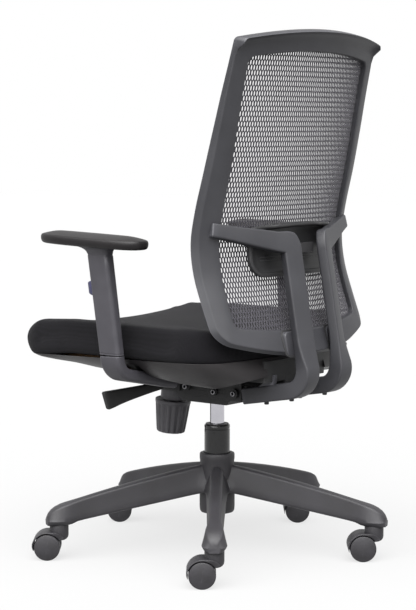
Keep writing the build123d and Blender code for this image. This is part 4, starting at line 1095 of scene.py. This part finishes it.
def legTop(r):
    spec = baseSpec
    u = r / spec["stem"]
    if u <= 1:
        return lerp(spec["rootHigh"], spec["tipHigh"], u) + 4 * spec["bulge"] * u * (1 - u)
    return spec["tipHigh"] - spec["tipSlope"] * (r - spec["stem"])


def tipDrop(r):
    start, run, drop = baseSpec["tip"]
    share = max(0.0, min(1.0, (r - start) / run))
    return drop * (1 - math.sqrt(1 - share * share))


def legLow(r):
    spec = baseSpec
    slope = lerp(spec["rootLow"], spec["endLow"], r / spec["socket"])
    return lerp(slope, spec["low"], ramp(r, *spec["foot"]))


def legSection(r, half, top):
    spec = baseSpec
    low = legLow(r)
    high = legTop(r) - tipDrop(r)
    shoe = ramp(r, *spec["shoe"])
    crown = min(spec["crownShare"] * top, spec["crown"])
    shoulder = high - crown
    side = [(lerp(a, b, shoe) * half, low + lerp(c, d, shoe)) for a, b, c, d in spec["sill"]]
    start = side[-1][1]
    side += [(lerp(half, top, k), lerp(start, shoulder, k)) for k in spec["flank"]]
    turns = [math.radians(angle) for angle in spec["crownAngles"]]
    arc = [(top * math.cos(turn), shoulder + crown * math.sin(turn)) for turn in turns]
    left = [(-t, z) for t, z in reversed(side)]
    return [(r, t, z) for t, z in side + arc + left]


def legTurn(k):
    return turned(baseSpec["first"] + 360 / baseSpec["count"] * k, "Z")


def stemPlace(k):
    return Matrix.Translation(legTurn(k) @ Vector((baseSpec["stem"] * mm, 0, 0)))


legs = range(baseSpec["count"])
leg = bridge([legSection(*station) for station in baseSpec["stations"]])
starParts = [moved(leg, legTurn(k)) for k in legs] + [lathe(baseSpec["hub"], steps=72)]
addPiece("starBase", joined(starParts), "base", "base_nylon", "star_base")
washer = lathe(baseSpec["washer"], steps=40)
addPiece("stemWashers", joined([moved(washer, stemPlace(k)) for k in legs]), "base", "bush_acetal")
print("stage: base moulded")

# Castors: a fender over the wheels and the housing of the stem
casterSpec = dict(
    heading=-51.3, trail=22.0, axle=25.0, inner=26.6, outer=29.4, half=24.6, lip=-14, back=150, steps=32,
    # start and run, in degrees round the axle, of what changes along the fender
    lipThick=0.8, thickens=(-16, 34), tail=7.0, tailGrows=(95, 50), narrowing=5.0, lipWidens=(-14, 16),
    backNarrows=(110, 40), corner=1.1, cornerShare=0.45, perCorner=4,
    # width of the wheels' eased edges, and the angle from which an edge is eased
    wheelEdge=(0.6, 30),
    web=((2, 40), (22, 14), (30, 20), (34, 30), (30, 44), (22, 50), (2, 52)), webY=(-4.6, 4.6),
    housing=((0.5, 68.5), (16.2, 68.5), (17.6, 67.7), (18.1, 66.2), (18.1, 47), (17.2, 42.5), (14.8, 39),
             (11, 36.8), (6, 36), (0.5, 36)))


def hoodRing(angle):
    spec = casterSpec
    inner = spec["inner"]
    outer = lerp(inner + spec["lipThick"], spec["outer"], ramp(angle, *spec["thickens"]))
    outer += spec["tail"] * ramp(angle, *spec["tailGrows"])
    half = lerp(spec["half"] - spec["narrowing"], spec["half"], ramp(angle, *spec["lipWidens"]))
    half -= spec["narrowing"] * ramp(angle, *spec["backNarrows"])
    turn = math.radians(angle)
    corner = min(spec["corner"], (outer - inner) * spec["cornerShare"])
    ring = []
    for u, v in roundRect(2 * half, outer - inner, corner, spec["perCorner"]):
        reach = (outer + inner) / 2 + v
        ring.append((spec["trail"] + reach * math.cos(turn), u, spec["axle"] + reach * math.sin(turn)))
    return ring


def buildHood():
    spec = casterSpec
    rings = [hoodRing(lerp(spec["lip"], spec["back"], k / spec["steps"])) for k in range(spec["steps"] + 1)]
    return joined([bridge(rings), lathe(spec["housing"]), plate(spec["web"], "y", *spec["webY"])])


hood = buildHood()
for k in legs:
    caster = f"caster_{k + 1}"
    place = stemPlace(k) @ turned(casterSpec["heading"], "Z")
    addPiece(f"casterHood{k + 1}", moved(hood, place), caster, "caster_nylon", f"caster_hood_{k + 1}")
    for side in ("left", "right"):
        dress(f"caster_wheel_{k + 1}_{side}", *casterSpec["wheelEdge"])
print("stage: castors moulded")

# Lift tube, with a turned groove and a small vent hole: radius, height
tubeSpec = dict(
    profile=((25, 82), (25, 236.0), (24.3, 236.6), (24.3, 238.0), (25, 238.6), (25, 243.6), (24.4, 244.6),
             (23.4, 245), (22.6, 245), (22.6, 200)),
    vent=((0.4, -0.6), (1.5, -0.6), (1.6, 0.35), (2.3, 0.35), (2.5, 0.1), (2.5, -0.8)),
    ventPlace=(25.0, 0, 229.5), ventTurn=22)
ventPlace = turned(tubeSpec["ventTurn"], "Z") @ shift(*tubeSpec["ventPlace"]) @ turned(90, "Y")
vent = moved(lathe(tubeSpec["vent"], steps=20), ventPlace)
tube = lathe(tubeSpec["profile"], steps=64)
addPiece("liftTube", joined([tube, vent]), "base", "tube_paint", "lift_outer_tube")
print("stage: lift tube turned")

# Tension knob with flutes
knobSpec = dict(
    place=(0, -111, 285), tilt=-6.0, ribs=16, depth=2.4,
    # share of the depth at each step of a rib
    flute=(0.0, 0.0, 0.05, 0.45, 0.9, 1.0, 0.9, 0.45),
    # radius, height, share of the flute
    profile=((8, -1.2, 0), (29, -1.2, 0), (31, -0.2, 0), (33.6, 0, 0), (35.2, -0.8, 0), (35.6, -2.6, 0),
             (35.4, -5.5, 0), (34.9, -7.5, 0.25), (34.5, -9.5, 0.75), (34.2, -12, 1), (32.4, -30, 1),
             (30.2, -50, 1), (29.0, -60, 1), (28.3, -64, 0.8), (27.0, -65.6, 0.3), (25, -66, 0), (6, -66, 0)))


def buildKnob():
    spec = knobSpec
    flute = spec["flute"] * spec["ribs"]
    rings = []
    for radius, height, share in spec["profile"]:
        ring = []
        for k, hollow in enumerate(flute):
            turn = 2 * math.pi * k / len(flute)
            reach = radius - spec["depth"] * share * hollow
            ring.append((reach * math.cos(turn), reach * math.sin(turn), height))
        rings.append(ring)
    return moved(bridge(rings), shift(*spec["place"]) @ turned(spec["tilt"], "X"))


addPiece("tensionKnob", buildKnob(), "tension_knob", "knob_plastic", "tension_knob")
print("stage: knob fluted")

# Levers: flared paddles on round rods
leverSpec = dict(
    y=-87.0, z=321.0, rootHalf=7.5, tipHalf=18.0, flare=1.25, drop=12.0, dropPower=1.1, root=62.0, tip=236.0,
    thick=10.0, corner=3.2, cornerTrim=0.5, waist=0.22, waistRate=1.1, slant=13.0, slants=(0.6, 0.4),
    # share of the length, trim
    stations=((0.0, 2.0), (0.012, 0.4), (0.03, 0), (0.15, 0), (0.3, 0), (0.45, 0), (0.6, 0), (0.75, 0),
              (0.87, 0), (0.95, 0), (0.985, 0.2), (1.0, 1.6)),
    # radius, place along X
    rod=((0.4, 28), (3.4, 28), (4, 28.8), (4, 70), (0.4, 70)),
    # plates of the height lever's finger: X, Y and Z from and to
    finger=(((-28, -14), (-91, 10), (338.2, 343.8)), ((-28, -14), (-91, -83), (319, 342)),
            ((-28, 10), (-10, 10), (338.2, 343.8))))


def buildPaddle():
    spec = leverSpec
    rings = []
    for share, trim in spec["stations"]:
        half = lerp(spec["rootHalf"], spec["tipHalf"], share ** spec["flare"]) - trim
        middle = spec["z"] - spec["drop"] * share ** spec["dropPower"]
        waist = 1.0 - spec["waist"] * math.sin(math.pi * min(1, share * spec["waistRate"]))
        corner = spec["corner"] * waist - spec["cornerTrim"] * trim
        slant = spec["slant"] * ramp(share, *spec["slants"])
        ring = []
        for u, v in roundRect(spec["thick"] * waist - 2 * trim, 2 * half, corner):
            x = lerp(spec["root"], spec["tip"], share) - slant * (half - v) / (2 * half)
            ring.append((x, spec["y"] + u, middle + v))
        rings.append(ring)
    rod = moved(lathe(spec["rod"], steps=24), shift(0, spec["y"], spec["z"]) @ turned(90, "Y"))
    return joined([bridge(rings), rod])


def buildFinger():
    parts = []
    for (x0, x1), (y0, y1), heights in leverSpec["finger"]:
        parts.append(plate(((x0, y0), (x1, y0), (x1, y1), (x0, y1)), "z", *heights))
    return joined(parts)


paddle = buildPaddle()
heightLever = joined([mirrored(paddle), buildFinger()])
addPiece("lockLever", paddle, "lock_lever", "lever_plastic", "lock_lever")
addPiece("heightLever", heightLever, "height_lever", "lever_plastic", "height_lever")
print("stage: levers shaped")

# Blocks that join the bottom rail to the uprights, each with a dark joint round it
mountSpec = dict(
    x=(43, 88), z=(404, 448), rear=(236, 228), sunk=2.0, corner=9.0, perCorner=6, joint=2.8,
    # share of the way from front to rear, trim
    levels=((0.0, 1.2), (0.06, 1.2), (0.1, 0.0), (0.5, 0.0), (0.86, 0.2), (0.95, 1.0), (1.0, 2.6)),
    # offset from the frame, trim
    jointLevels=((-3.0, 0.0), (0.9, 0.0), (1.2, 0.3)))


def mountOutline(grow, corner):
    x0, x1 = mountSpec["x"]
    z0, z1 = mountSpec["z"]
    outline = roundRect(x1 - x0 + 2 * grow, z1 - z0 + 2 * grow, corner, mountSpec["perCorner"])
    return [((x0 + x1) / 2 + u, (z0 + z1) / 2 + v) for u, v in outline]


def buildMount():
    spec = mountSpec
    z0, z1 = spec["z"]
    rings = []
    for share, trim in spec["levels"]:
        ring = []
        for x, z in mountOutline(-trim, spec["corner"] - trim):
            front = rearY(x, z) - spec["sunk"]
            rear = lerp(*spec["rear"], (z - z0) / (z1 - z0))
            ring.append((x, lerp(front, rear, share), z))
        rings.append(ring)
    return bridge(rings)


def buildJoint():
    spec = mountSpec
    rings = []
    for offset, trim in spec["jointLevels"]:
        outline = mountOutline(spec["joint"] - trim, spec["corner"] + spec["joint"])
        rings.append([(x, rearY(x, z) + offset, z) for x, z in outline])
    return bridge(rings)


addPiece("mountJoints", bothSides(buildJoint()), "back", "black_steel")
addPiece("frameMounts", bothSides(buildMount()), "back", "frame_plastic", "frame_mounts")
print("stage: mounts shaped")

# Socket screws in the ends of the shafts and of the link pin
screwSpec = dict(
    shaftX=61.4, shafts=((-31, 323), (38.7, 318.5)), link=(69.4, 92.6, 320.5), radius=5.0,
    # share of the radius, height
    head=((0.62, 0.5), (0.62, 1.9), (0.72, 2.2), (0.94, 1.9), (1, 1.2), (1, -0.6)), socket=0.64,
    socketHeight=0.6, socketMiddle=0.2)


def screwAt(x, y, z):
    spec = screwSpec
    radius = spec["radius"]
    outer = lathe([(radius * share, height) for share, height in spec["head"]], steps=28)
    socketEdge = (radius * spec["socket"], spec["socketHeight"])
    socket = lathe(((spec["socketMiddle"], spec["socketHeight"]), socketEdge), steps=6)
    return moved(joined([outer, socket]), shift(x, y, z) @ turned(90, "Y"))


shaftScrews = joined([screwAt(screwSpec["shaftX"], y, z) for y, z in screwSpec["shafts"]])
addPiece("shaftScrews", bothSides(shaftScrews), "mechanism", "bright_steel")
addPiece("linkScrews", bothSides(screwAt(*screwSpec["link"])), "back", "bright_steel")
print("stage: screws set")

for name in ("mechanism_housing", "seat_carrier", "tension_cup", "back_bracket", "seat_bolts",
             "pivot_shafts", "link_pin"):
    dress(name)
for name in ("pivot_shafts", "link_pin"):
    cadNodes[name].data.materials[0] = materials["black_steel"]
print("stage: solids dressed")
